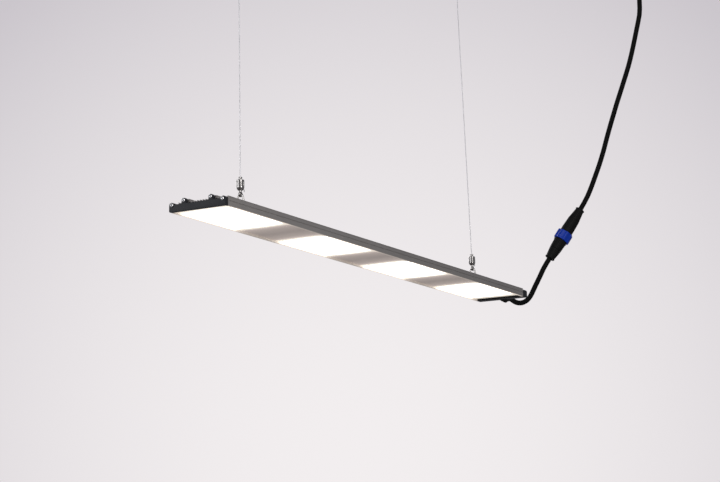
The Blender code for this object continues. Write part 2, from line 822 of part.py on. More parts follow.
def make_supply():
    gland_place = along((PLATE_INNER_X + PLATE_THICK["far"], 0, FLOOR_Z + GLAND_Z), (1, 0, 0))
    turned("cable_gland", GLAND_PROFILE, BLACK_NYLON, gland_place, steps=FINE_SEGMENTS, closed=True)
    turned("gland_nut", GLAND_NUT_PROFILE, BLACK_NYLON, gland_place, steps=6, closed=True)

    low, high = on_bar([COUPLER_LOW / MM, COUPLER_HIGH / MM])
    axis = (high - low).normalized()
    middle = low + axis * COUPLER_LOW_REACH
    place = along(middle, axis)
    turned("coupler_socket", SOCKET_PROFILE, BLACK_NYLON, place, steps=FINE_SEGMENTS)
    turned("coupler_plug", PLUG_PROFILE, BLACK_NYLON, place, steps=FINE_SEGMENTS)
    turned("coupler_nut_lower", LOWER_NUT_PROFILE, BLACK_NYLON, place, steps=FINE_SEGMENTS, closed=True)
    turned("coupler_nut_upper", UPPER_NUT_PROFILE, BLACK_NYLON, place, steps=FINE_SEGMENTS, closed=True)
    ring_loops = [ring_outline(), circle((0, 0), 12.9 * MM, 24)]
    outline("coupler_lock_ring", ring_loops, 18.4 * MM, BLUE_NYLON, place)

    lower_ends = [middle + axis * h * MM for h in (-48, -35, -21.5)]
    upper_ends = [middle + axis * h * MM for h in (26, 39, 52, 65.5)]
    pigtail = smooth_route(on_bar(PIGTAIL_ROUTE) + lower_ends, 1.7 * CORD_RADIUS * 2)
    supply = smooth_route(upper_ends + on_bar(SUPPLY_ROUTE), 2.4 * CORD_RADIUS * 2)
    tube("pigtail_cord", pigtail, CORD_RADIUS, RUBBER)
    tube("supply_cord", supply, CORD_RADIUS, RUBBER)

    rose_place = Matrix.Translation(ROSE_PLACE)
    turned("cord_rose", ROSE_PROFILE, WHITE_COVER, rose_place, steps=FINE_SEGMENTS, closed=True)
    turned("cord_rose_nut", ROSE_NUT_PROFILE, WHITE_COVER, rose_place, closed=True)


make_bar()
make_modules()
make_hangers()
make_supply()
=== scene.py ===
"""Looks of a hanging LED grow light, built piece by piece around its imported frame.

The bar hangs from a ceiling by two wire hangers. A supply cord reaches it through an in-line coupler. The origin is
on the ceiling plane straight above the middle of the bar. +X runs towards the bar's cord end and +Z is up.
"""

import logging
import math
from collections.abc import Callable, Iterable
from dataclasses import dataclass, field
from enum import Enum

import bmesh
import bpy
from mathutils import Matrix, Vector


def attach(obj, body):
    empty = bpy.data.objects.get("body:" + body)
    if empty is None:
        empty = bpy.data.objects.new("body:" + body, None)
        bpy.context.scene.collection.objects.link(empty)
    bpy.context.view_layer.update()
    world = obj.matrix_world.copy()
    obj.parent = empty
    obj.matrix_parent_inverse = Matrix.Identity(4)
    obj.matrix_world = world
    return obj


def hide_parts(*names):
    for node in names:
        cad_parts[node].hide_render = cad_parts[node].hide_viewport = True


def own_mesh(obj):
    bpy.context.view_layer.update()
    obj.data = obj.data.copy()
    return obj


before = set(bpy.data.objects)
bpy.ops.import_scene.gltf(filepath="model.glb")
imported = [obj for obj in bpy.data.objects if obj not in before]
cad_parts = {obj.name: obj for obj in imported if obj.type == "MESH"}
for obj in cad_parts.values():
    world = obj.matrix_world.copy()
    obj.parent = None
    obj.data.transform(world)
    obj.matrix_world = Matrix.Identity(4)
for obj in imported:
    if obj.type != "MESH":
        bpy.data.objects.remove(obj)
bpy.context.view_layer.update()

MM = 0.001
UNDERSIDE_Z = -680 * MM
GAP = 0.3 * MM
ROUND_STEPS = 48
BOARD_LOW = 6.9
RAIL_Y = 24.0
LOG = logging.getLogger("grow_light")

Point = tuple[float, float, float]
Profile = list[tuple[float, float]]
Colour = tuple[float, float, float]


class End(Enum):
    """The two ends of the bar, with the way each one faces along X."""

    NEAR = "near"
    FAR = "far"

    @property
    def way(self) -> int:
        """-1 at the near end and 1 at the far end."""
        return -1 if self is End.NEAR else 1


# Finishes


class Shading:
    """The node tree of one material, with short ways to add and join its nodes."""

    def __init__(self, name: str) -> None:
        """Makes the material and keeps its main shader.

        Args:
            name: The material's name.
        """
        self.material = bpy.data.materials.new(name)
        self.material.use_nodes = True
        self.tree = self.material.node_tree
        self.shader = self.tree.nodes["Principled BSDF"]
        self.place = self.node("ShaderNodeTexCoord").outputs["Object"]

    def node(self, kind: str, **settings: object) -> bpy.types.Node:
        """Adds a node.

        Args:
            kind: Blender's name for the node's type.
            **settings: Properties to set on the node.

        Returns:
            The new node.
        """
        made = self.tree.nodes.new(kind)
        for key, value in settings.items():
            setattr(made, key, value)
        return made

    def feed(self, socket: bpy.types.NodeSocket, value: object) -> None:
        """Links a socket, or sets its number where the value isn't an output.

        Args:
            socket: The input to feed.
            value: Another node's output, or a plain value.
        """
        if isinstance(value, bpy.types.NodeSocket):
            self.tree.links.new(value, socket)
        else:
            socket.default_value = value

    def calc(self, operation: str, *values: object) -> bpy.types.NodeSocket:
        """A sum on up to three values.

        Args:
            operation: The Math node's operation.
            *values: Outputs or plain numbers.

        Returns:
            The result.
        """
        made = self.node("ShaderNodeMath", operation=operation)
        for socket, value in zip(made.inputs, values):
            self.feed(socket, value)
        return made.outputs[0]

    def axes(self) -> list[bpy.types.NodeSocket]:
        """The X, Y and Z of the place on the surface."""
        made = self.node("ShaderNodeSeparateXYZ")
        self.feed(made.inputs[0], self.place)
        return list(made.outputs)

    def noise(self, per_metre: Point, detail: float = 3.0) -> bpy.types.NodeSocket:
        """Noise whose grain may be drawn out along an axis.

        Args:
            per_metre: How many grains there are in a metre, along X, Y and Z.
            detail: How many finer layers are added.

        Returns:
            The noise, from 0 to 1.
        """
        mapping = self.node("ShaderNodeMapping")
        self.feed(mapping.inputs["Vector"], self.place)
        mapping.inputs["Scale"].default_value = per_metre
        made = self.node("ShaderNodeTexNoise")
        self.feed(made.inputs["Vector"], mapping.outputs[0])
        made.inputs["Scale"].default_value = 1.0
        made.inputs["Detail"].default_value = detail
        return made.outputs["Fac"]

    def remap(self, value: object, source: tuple, target: tuple, smooth: bool = False) -> bpy.types.NodeSocket:
        """Moves a value from one range to another and keeps it there.

        Args:
            value: The value.
            source: The lowest and highest value that come in.
            target: What they become.
            smooth: Whether the change is eased at both ends.

        Returns:
            The value in its new range.
        """
        made = self.node("ShaderNodeMapRange")
        made.interpolation_type = "SMOOTHSTEP" if smooth else "LINEAR"
        for socket, number in zip(made.inputs, (value, *source, *target)):
            self.feed(socket, number)
        return made.outputs[0]

    def mix(self, share: object, low: object, high: object) -> bpy.types.NodeSocket:
        """A mix of two colours.

        Args:
            share: How much of the second there is.
            low: The first colour.
            high: The second colour.

        Returns:
            The mixed colour.
        """
        made = self.node("ShaderNodeMix", data_type="RGBA")
        self.feed(made.inputs[0], share)
        for socket, colour in ((made.inputs[6], low), (made.inputs[7], high)):
            self.feed(socket, (*colour, 1.0) if isinstance(colour, tuple) else colour)
        return made.outputs[2]

    def relief(self, height: bpy.types.NodeSocket, depth: float, strength: float) -> None:
        """Raises the surface by a height, laid over any relief that is there already.

        Args:
            height: The height, from 0 to 1.
            depth: How high 1 is, in metres.
            strength: How strongly it shows.
        """
        made = self.node("ShaderNodeBump")
        made.inputs["Distance"].default_value = depth
        made.inputs["Strength"].default_value = strength
        self.feed(made.inputs["Height"], height)
        before = self.shader.inputs["Normal"].links
        if before:
            self.feed(made.inputs["Normal"], before[0].from_socket)
        self.feed(self.shader.inputs["Normal"], made.outputs[0])


def scaled(colour: Colour, factor: float) -> Colour:
    """The colour made lighter or darker, and kept below 1."""
    return tuple(min(1.0, part * factor) for part in colour)


@dataclass(frozen=True)
class Finish:
    """A finish with a fine grain and broad, faint patches laid over it.

    grain is in grains per metre, relief is in metres.
    """

    name: str
    slot: str
    colour: Colour
    metallic: float = 0.0
    roughness: float = 0.5
    grain: Point = (2200.0, 2200.0, 2200.0)
    patches: Point = (28.0, 28.0, 28.0)
    colour_spread: float = 0.10
    roughness_spread: float = 0.07
    relief: float = 0.00003
    relief_strength: float = 0.35
    coat: float = 0.0
    specular: float = 0.5

    def build(self) -> bpy.types.Material:
        """Makes the material.

        Returns:
            The material, ready to dress a piece.
        """
        pen = Shading(self.name)
        shader = pen.shader
        shader.inputs["Metallic"].default_value = self.metallic
        shader.inputs["Specular IOR Level"].default_value = self.specular
        shader.inputs["Coat Weight"].default_value = self.coat
        shader.inputs["Coat Roughness"].default_value = 0.12
        grain = pen.noise(self.grain, 4.0)
        patches = pen.noise(self.patches, 2.0)
        both = pen.calc("MULTIPLY_ADD", grain, 0.55, pen.calc("MULTIPLY", patches, 0.45))
        dark = scaled(self.colour, 1.0 - self.colour_spread)
        light = scaled(self.colour, 1.0 + self.colour_spread)
        pen.feed(shader.inputs["Base Color"], pen.mix(pen.remap(both, (0.3, 0.7), (0.0, 1.0)), dark, light))
        low = max(0.02, self.roughness - self.roughness_spread)
        high = self.roughness + self.roughness_spread
        pen.feed(shader.inputs["Roughness"], pen.remap(both, (0.3, 0.7), (low, high)))
        pen.relief(grain, self.relief, self.relief_strength)
        self.add_detail(pen)
        return pen.material

    def add_detail(self, pen: Shading) -> None:
        """Adds what is special to a finish; a plain one has nothing more."""


@dataclass(frozen=True)
class Twisted(Finish):
    """Stranded wire, with fine drawing marks along it."""

    def add_detail(self, pen: Shading) -> None:
        """Adds a fine relief that runs along the wire."""
        pen.relief(pen.noise((6000.0, 6000.0, 300.0), 2.0), 0.00002, 0.3)


MODULE_PITCH = 258.45 * MM
FIRST_MODULE = 129.2 * MM
BOARD_SCREWS = [(-45.9, 37.2), (41.8, 22.9), (42.0, -18.8), (-20.4, 27.1)]
# The boards' light falling off with distance from a board's middle; the plates and the lips get it as painted light.
GLOW = [(66, 6.0), (75, 0.85), (81, 0.55), (88, 0.40), (100, 0.28), (127, 0.20)]


def glow(pen: Shading) -> bpy.types.NodeSocket:
    """How strongly a place on the underside shines, from its distance to the nearest board's middle.

    Args:
        pen: The material's nodes.

    Returns:
        The strength, which falls along the steps of GLOW (distance in millimetres, strength).
    """
    # On the windows this is the boards' own light; on the plates between them and on the bar's lips it is painted
    # light.
    x, y, _ = pen.axes()
    half = MODULE_PITCH / 2
    from_board = pen.calc("ABSOLUTE", pen.calc("WRAP", pen.calc("SUBTRACT", x, FIRST_MODULE), half, -half))
    sideways = pen.calc("POWER", pen.calc("ABSOLUTE", pen.calc("MULTIPLY", y, 1 / (47 * MM))), 2.0)
    apart = pen.calc("MULTIPLY_ADD", sideways, 5 * MM, from_board)
    total = GLOW[0][1]
    for (near, high), (far, low) in zip(GLOW, GLOW[1:]):
        total = pen.calc("ADD", total, pen.remap(apart, (near * MM, far * MM), (0.0, low - high)))
    return total


@dataclass(frozen=True)
class Drawn(Finish):
    """Extruded metal, with die lines that run along the bar, and the windows' light painted onto its lips as a glow."""

    line_relief: float = 0.00004
    # The colour of the window light painted onto the lips.
    warm: Colour = (1.0, 0.86, 0.74)

    def add_detail(self, pen: Shading) -> None:
        """Adds fine lines and a few broader ones along X, and a painted glow of the windows' light on the two lips."""
        fine = pen.noise((3.0, 5200.0, 5200.0), 2.0)
        broad = pen.noise((0.6, 700.0, 700.0), 1.0)
        pen.relief(fine, self.line_relief, 0.30)
        pen.relief(broad, self.line_relief * 2, 0.22)
        pen.shader.inputs["Anisotropic"].default_value = 0.35
        _, y, z = pen.axes()
        # Painted light: the lips' bottom faces and inner walls glow, as emission, with the windows' light nearby.
        low = pen.remap(z, (UNDERSIDE_Z + 0.35 * MM, UNDERSIDE_Z + 0.15 * MM), (0.0, 1.0))
        wall = pen.calc("LESS_THAN", pen.calc("ABSOLUTE", y), 47.5 * MM)
        deep = pen.calc("LESS_THAN", z, UNDERSIDE_Z + 4.0 * MM)
        lips = pen.calc("MAXIMUM", low, pen.calc("MULTIPLY", wall, deep))
        shine = pen.remap(glow(pen), (0.2, 1.2), (0.26, 0.72))
        pen.shader.inputs["Emission Color"].default_value = (*self.warm, 1.0)
        pen.feed(pen.shader.inputs["Emission Strength"], pen.calc("MULTIPLY", lips, shine))


@dataclass(frozen=True)
class Opal(Finish):
    """An opal diffuser, lit from behind, with painted shadows of the board's screws in it."""

    warm: Colour = (1.0, 0.91, 0.78)
    screw_shade: float = 0.13

    def add_detail(self, pen: Shading) -> None:
        """Adds the light of the boards and the faint painted screw shadows."""
        shine = glow(pen)
        x, y, _ = pen.axes()
        half = MODULE_PITCH / 2
        in_module = pen.calc("WRAP", pen.calc("SUBTRACT", x, FIRST_MODULE), half, -half)
        # Painted shadows: the glow is dimmed in a soft dot round each board screw.
        for screw_x, screw_y in BOARD_SCREWS:
            aside = pen.calc("SUBTRACT", in_module, screw_x * MM)
            across = pen.calc("SUBTRACT", y, screw_y * MM)
            apart = pen.calc("SQRT", pen.calc("ADD", pen.calc("POWER", aside, 2.0), pen.calc("POWER", across, 2.0)))
            shade = pen.remap(apart, (1.2 * MM, 4.2 * MM), (self.screw_shade, 1.0), smooth=True)
            shine = pen.calc("MULTIPLY", shine, shade)
        pen.shader.inputs["Emission Color"].default_value = (*self.warm, 1.0)
        pen.feed(pen.shader.inputs["Emission Strength"], shine)


@dataclass(frozen=True)
class PaintedGlowPlate(Finish):
    """A plain plate between two windows, with the windows' light painted onto its ends as a glow."""

    warm: Colour = (1.0, 0.84, 0.76)

    def add_detail(self, pen: Shading) -> None:
        """Paints the light that spills onto the plate's ends, as emission."""
        pen.shader.inputs["Emission Color"].default_value = (*self.warm, 1.0)
        pen.feed(pen.shader.inputs["Emission Strength"], glow(pen))


@dataclass(frozen=True)
class ChipBoard(Finish):
    """A white circuit board whose chips, which stand below it, are amber."""

    chip_colour: Colour = (0.85, 0.55, 0.08)
    board_low: float = UNDERSIDE_Z + BOARD_LOW * MM

    def add_detail(self, pen: Shading) -> None:
        """Gives the chips their own colour, by height."""
        _, _, z = pen.axes()
        below = pen.calc("LESS_THAN", z, self.board_low - 0.02 * MM)
        plain = pen.shader.inputs["Base Color"].links[0].from_socket
        pen.feed(pen.shader.inputs["Base Color"], pen.mix(below, plain, self.chip_colour))


FINISHES = [
    Drawn("anodised_aluminium", "anodised_aluminium", (0.36, 0.34, 0.33), 0.6, 0.42, colour_spread=0.06),
    Finish(
        "black_end_plate", "black_end_plate", (0.014, 0.015, 0.019), 0.0, 0.48, (1500.0,) * 3,
        relief=0.00006, specular=0.3,
    ),
    Finish("black_rubber", "black_rubber", (0.002,) * 3, 0.0, 0.7, (1800.0,) * 3, relief=0.00005, specular=0.15),
    Finish("bright_steel", "bright_steel", (0.74, 0.74, 0.75), 1.0, 0.22, roughness_spread=0.06),
    Finish("nickel_plate", "nickel_plate", (0.50, 0.48, 0.47), 1.0, 0.16, roughness_spread=0.04, relief=0.00001),
    Twisted("steel_wire", "steel_wire", (0.80, 0.79, 0.82), 0.7, 0.40),
    Opal("opal_window", "opal_window", (0.92, 0.88, 0.80), 0.0, 0.36, relief=0.00001),
    # The grey plates between the windows, with the windows' light painted onto their ends.
    PaintedGlowPlate("grey_plate", "grey_plate", (0.30, 0.275, 0.262), 0.1, 0.55, (1400.0,) * 3),
    ChipBoard("white_board", "white_board", (0.85, 0.85, 0.82), 0.0, 0.5),
    Finish("white_ribbon", "white_ribbon", (0.80, 0.80, 0.78), 0.0, 0.5, (150.0, 3000.0, 3000.0)),
    Finish("black_nylon", "black_nylon", (0.003,) * 3, 0.0, 0.6, (1600.0,) * 3, relief=0.00006, specular=0.2),
    Finish("blue_nylon", "blue_nylon", (0.001, 0.036, 0.40), 0.0, 0.42, (1500.0,) * 3, specular=0.3),
    Finish("white_cover", "white_cover", (0.84, 0.84, 0.83), 0.0, 0.38, (1200.0,) * 3, coat=0.1),
]


# Modelling tools


def deselect() -> None:
    """Leaves edit mode and deselects everything."""
    if bpy.context.mode != "OBJECT":
        bpy.ops.object.mode_set(mode="OBJECT")
    bpy.ops.object.select_all(action="DESELECT")


def edit(piece: bpy.types.Object) -> None:
    """Makes one piece the only selected and active one and goes into edit mode with all of it selected."""
    deselect()
    piece.select_set(True)
    bpy.context.view_layer.objects.active = piece
    bpy.ops.object.mode_set(mode="EDIT")
    bpy.ops.mesh.select_all(action="SELECT")


def leave_edit() -> None:
    """Goes back to object mode."""
    bpy.ops.object.mode_set(mode="OBJECT")


def chain(name: str, points: Iterable[Point], closed: bool) -> bpy.types.Object:
    """A line of edges, drawn by extruding one corner from point to point. It stays in edit mode, selected.

    Args:
        name: The new object's name.
        points: The corners, in metres.
        closed: Whether the last corner joins the first.

    Returns:
        The object.
    """
    deselect()
    corners = [Vector(p) for p in points]
    bpy.ops.mesh.primitive_plane_add(size=1.0, location=(0, 0, 0))
    piece = bpy.context.object
    piece.name = name
    piece.data.name = name
    bpy.ops.object.mode_set(mode="EDIT")
    bpy.ops.mesh.select_mode(type="VERT")
    bpy.ops.mesh.select_all(action="SELECT")
    bpy.ops.mesh.merge(type="CENTER")
    bpy.ops.transform.translate(value=corners[0])
    here = corners[0]
    for corner in corners[1:] + ([corners[0]] if closed else []):
        bpy.ops.mesh.extrude_vertices_move(TRANSFORM_OT_translate={"value": corner - here})
        here = corner
    bpy.ops.mesh.select_all(action="SELECT")
    bpy.ops.mesh.remove_doubles(threshold=0.002 * MM)
    return piece


def tidy_skin() -> None:
    """Merges doubled corners and turns every face outwards, in edit mode."""
    bpy.ops.mesh.select_all(action="SELECT")
    bpy.ops.mesh.remove_doubles(threshold=0.004 * MM)
    bpy.ops.mesh.normals_make_consistent(inside=False)


def turned(name: str, profile: Profile, closed: bool = False, steps: int = ROUND_STEPS) -> bpy.types.Object:
    """A turned piece about local Z, spun from its profile.

    Args:
        name: The piece's name.
        profile: (radius, height) pairs in millimetres.
        closed: Whether the profile is a closed loop, as on a ring. An open one begins and ends on the axis.
        steps: How many facets go round it.

    Returns:
        The piece.
    """
    piece = chain(name, [(r * MM, 0.0, h * MM) for r, h in profile], closed)
    bpy.ops.mesh.spin(steps=steps, angle=2 * math.pi, center=(0, 0, 0), axis=(0, 0, 1))
    tidy_skin()
    leave_edit()
    return piece


def plate(name: str, outline: Profile, thickness: float) -> bpy.types.Object:
    """A flat outline in local XY, extruded along local Z about its middle.

    Args:
        name: The piece's name.
        outline: The corners in metres.
        thickness: The thickness in metres.

    Returns:
        The piece.
    """
    piece = chain(name, [(u, v, -thickness / 2) for u, v in outline], True)
    bpy.ops.mesh.edge_face_add()
    bpy.ops.mesh.extrude_region_move(TRANSFORM_OT_translate={"value": (0, 0, thickness)})
    tidy_skin()
    leave_edit()
    return piece


def pick_faces(piece: bpy.types.Object, wanted: Callable[[bmesh.types.BMFace], bool]) -> int:
    """Selects just the faces that pass a test, and stays in edit mode.

    Args:
        piece: The piece to edit.
        wanted: Says whether a face is picked.

    Returns:
        How many were picked.
    """
    edit(piece)
    bpy.ops.mesh.select_mode(type="FACE")
    bpy.ops.mesh.select_all(action="DESELECT")
    mesh = bmesh.from_edit_mesh(piece.data)
    picked = [face for face in mesh.faces if wanted(face)]
    for face in picked:
        face.select_set(True)
    bmesh.update_edit_mesh(piece.data)
    return len(picked)


def flute(piece: bpy.types.Object, low: float, high: float, count: int, depth: float, steps: int = ROUND_STEPS) -> None:
    """Sinks grip flutes into a turned piece's side, between two heights in mm, by insetting every other strip.

    Args:
        piece: The turned piece, still about local Z.
        low: The flutes' lowest height.
        high: Their highest.
        count: How many flutes there are.
        depth: How deep they go, in mm.
        steps: How many facets the piece has round it.
    """
    share = steps // count

    def in_flute(face: bmesh.types.BMFace) -> bool:
        """Whether a face lies on the outer side, between the heights and in a sunk strip."""
        middle = face.calc_center_median()
        if not low * MM < middle.z < high * MM:
            return False
        outwards = Vector((middle.x, middle.y, 0))
        if outwards.length < 1e-5 or face.normal.dot(outwards.normalized()) < 0.6:
            return False
        turn = math.atan2(middle.y, middle.x) / (2 * math.pi) % 1.0
        return int(turn * steps) % share >= share / 2

    if pick_faces(piece, in_flute):
        bpy.ops.mesh.inset(thickness=0.22 * MM, depth=-depth * MM, use_boundary=True)
    leave_edit()


def apply_all(piece: bpy.types.Object) -> None:
    """Applies every modifier of the piece."""
    deselect()
    piece.select_set(True)
    bpy.context.view_layer.objects.active = piece
    for modifier in list(piece.modifiers):
        bpy.ops.object.modifier_apply(modifier=modifier.name)


def cut(piece: bpy.types.Object, *cutters: bpy.types.Object) -> None:
    """Cuts each cutter out of the piece, then removes the cutter."""
    for cutter in cutters:
        modifier = piece.modifiers.new("cut", "BOOLEAN")
        modifier.operation = "DIFFERENCE"
        modifier.solver = "EXACT"
        modifier.object = cutter
        apply_all(piece)
        bpy.data.objects.remove(cutter, do_unlink=True)


def join_into(piece: bpy.types.Object, *others: bpy.types.Object) -> None:
    """Fuses the others into the piece, then removes them."""
    for other in others:
        modifier = piece.modifiers.new("fuse", "BOOLEAN")
        modifier.operation = "UNION"
        modifier.solver = "EXACT"
        modifier.object = other
        apply_all(piece)
        bpy.data.objects.remove(other, do_unlink=True)


def drill(radius: float, low: Point, high: Point, sides: int = 24) -> bpy.types.Object:
    """A round or many-sided cutter between two points.

    Args:
        radius: Its radius in metres.
        low: One end.
        high: The other end.
        sides: How many sides it has, such as 6 for a hexagon socket.

    Returns:
        The cutter.
    """
    deselect()
    start, stop = Vector(low), Vector(high)
    bpy.ops.mesh.primitive_cylinder_add(vertices=sides, radius=radius, depth=(stop - start).length)
    cutter = bpy.context.object
    cutter.data.transform(placed((start + stop) / 2, stop - start))
    return cutter


def soften(piece: bpy.types.Object, width: float, segments: int = 2, angle: float = 32.0) -> None:
    """Rounds the piece's edges.

    Args:
        piece: The piece.
        width: The rounding's width in mm.
        segments: How many facets it has.
        angle: The least bend of an edge that is rounded, in degrees.
    """
    bevel = piece.modifiers.new("soften", "BEVEL")
    bevel.width = width * MM
    bevel.segments = segments
    bevel.limit_method = "ANGLE"
    bevel.angle_limit = math.radians(angle)
    bevel.use_clamp_overlap = True
    apply_all(piece)


def smooth(piece: bpy.types.Object, angle: float = 38.0) -> None:
    """Shades the piece smooth, but for edges that bend more than the angle in degrees."""
    deselect()
    piece.select_set(True)
    bpy.context.view_layer.objects.active = piece
    bpy.ops.object.shade_smooth_by_angle(angle=math.radians(angle))


def placed(origin: Iterable[float], direction: Iterable[float]) -> Matrix:
    """A place at the origin whose local Z points along the direction."""
    turn = Vector((0, 0, 1)).rotation_difference(Vector(direction))
    return Matrix.Translation(Vector(origin)) @ turn.to_matrix().to_4x4()


def across_bar(x: float) -> Matrix:
    """The place of a cross-section outline: local X is +Y, local Y is up, and its thickness is along X."""
    turn = Matrix(((0, 0, 1, 0), (1, 0, 0, 0), (0, 1, 0, 0), (0, 0, 0, 1)))
    return Matrix.Translation((x, 0, UNDERSIDE_Z)) @ turn


def copy_to(piece: bpy.types.Object, name: str, place: Matrix) -> bpy.types.Object:
    """A copy of a piece with its own mesh, put in its place.

    Args:
        piece: The piece, modelled about the origin.
        name: The copy's name.
        place: Where it goes.

    Returns:
        The copy.
    """
    made = piece.copy()
    made.data = piece.data.copy()
    made.name = name
    made.data.name = name
    bpy.context.scene.collection.objects.link(made)
    made.data.transform(place)
    return made


def discard(*pieces: bpy.types.Object) -> None:
    """Removes the patterns that copies were taken from."""
    for piece in pieces:
        bpy.data.objects.remove(piece, do_unlink=True)


def cord_curve(name: str, points: Iterable[Iterable[float]], radius: float, rounds: int = 6) -> bpy.types.Object:
    """A round cord or rod along points, as a curve of one open spline.

    Args:
        name: The piece's name.
        points: The points of its middle line.
        radius: Its radius in metres.
        rounds: How finely its section is rounded.

    Returns:
        The curve object.
    """
    line = [Vector(p) for p in points]
    curve = bpy.data.curves.new(name, "CURVE")
    curve.dimensions = "3D"
    curve.bevel_depth = radius
    curve.bevel_resolution = rounds
    curve.use_fill_caps = True
    spline = curve.splines.new("POLY")
    spline.points.add(len(line) - 1)
    for knot, co in zip(spline.points, line):
        knot.co = (*co, 1.0)
    spline.use_smooth = True
    made = bpy.data.objects.new(name, curve)
    bpy.context.scene.collection.objects.link(made)
    return made


def as_mesh(piece: bpy.types.Object) -> bpy.types.Object:
    """Turns a curve into a mesh of its own.

    Args:
        piece: The curve object.

    Returns:
        The mesh object.
    """
    deselect()
    piece.select_set(True)
    bpy.context.view_layer.objects.active = piece
    bpy.ops.object.convert(target="MESH")
    made = bpy.context.object
    edit(made)
    tidy_skin()
    leave_edit()
    return made


def arc(centre: tuple[float, float], radius: float, start: float, end: float, count: int) -> Profile:
    """Points along an arc, the angles in degrees."""
    u, v = centre
    angles = [math.radians(start + (end - start) * i / count) for i in range(count + 1)]
    return [(u + radius * math.cos(a), v + radius * math.sin(a)) for a in angles]


def mirrored(half: Profile) -> Profile:
    """A closed loop from its right half, which runs from the middle of the bottom to the middle of the top."""
    return half + [(-u, v) for u, v in reversed(half)]


def smooth_route(points: list[Vector], spacing: float) -> list[Vector]:
    """Evenly spaced points on a Catmull-Rom curve.

    Args:
        points: The points that the curve goes through.
        spacing: The distance between the points that come back.

    Returns:
        The even points.
    """
    path = [2 * points[0] - points[1], *points, 2 * points[-1] - points[-2]]
    fine = []
    for before, here, after, beyond in zip(path, path[1:], path[2:], path[3:]):
        for step in range(20):
            t = step / 20
            bend = 2 * before - 5 * here + 4 * after - beyond
            twist = 3 * here - before - 3 * after + beyond
            fine.append(0.5 * (2 * here + (after - before) * t + bend * t**2 + twist * t**3))
    fine.append(path[-2])
    length = sum((b - a).length for a, b in zip(fine, fine[1:]))
    count = max(2, round(length / spacing))
    even, walked = [fine[0]], 0.0
    for a, b in zip(fine, fine[1:]):
        walked += (b - a).length
        if walked >= length * len(even) / count and len(even) < count:
            even.append(b)
    even.append(fine[-1])
    return even


class Workshop:
    """Holds the finishes, and gives each piece its finish, its body and the CAD nodes that it stands for."""

    def __init__(self) -> None:
        """Makes every finish once."""
        self.finishes = {finish.name: finish for finish in FINISHES}
        self.materials = {name: finish.build() for name, finish in self.finishes.items()}

    def dress(self, piece: bpy.types.Object, finish: str) -> None:
        """Gives a piece one finish all over."""
        piece.data.materials.clear()
        piece.data.materials.append(self.materials[finish])

    def settle(self, piece: bpy.types.Object, finish: str, body: str = "root", *stands_for: str) -> bpy.types.Object:
        """Finishes a piece: its material, its body and what it stands for.

        Args:
            piece: The piece, in its place.
            finish: The finish's name.
            body: The body that it rides on.
            *stands_for: The CAD nodes that it replaces.

        Returns:
            The piece.
        """
        self.dress(piece, finish)
        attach(piece, body)
        if stands_for:
            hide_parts(*stands_for)
        LOG.info("%s on %s, %s", piece.name, body, finish)
        return piece

    def redress_node(self, node: str, finish: str) -> None:
        """Gives a carried-over CAD node its finish, through the object's own material slots."""
        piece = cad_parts[node]
        if not piece.material_slots:
            piece.data.materials.append(self.materials[finish])
        for slot in piece.material_slots:
            slot.link = "OBJECT"
            slot.material = self.materials[finish]
        LOG.info("%s keeps its CAD shape, %s", node, finish)


# The bar


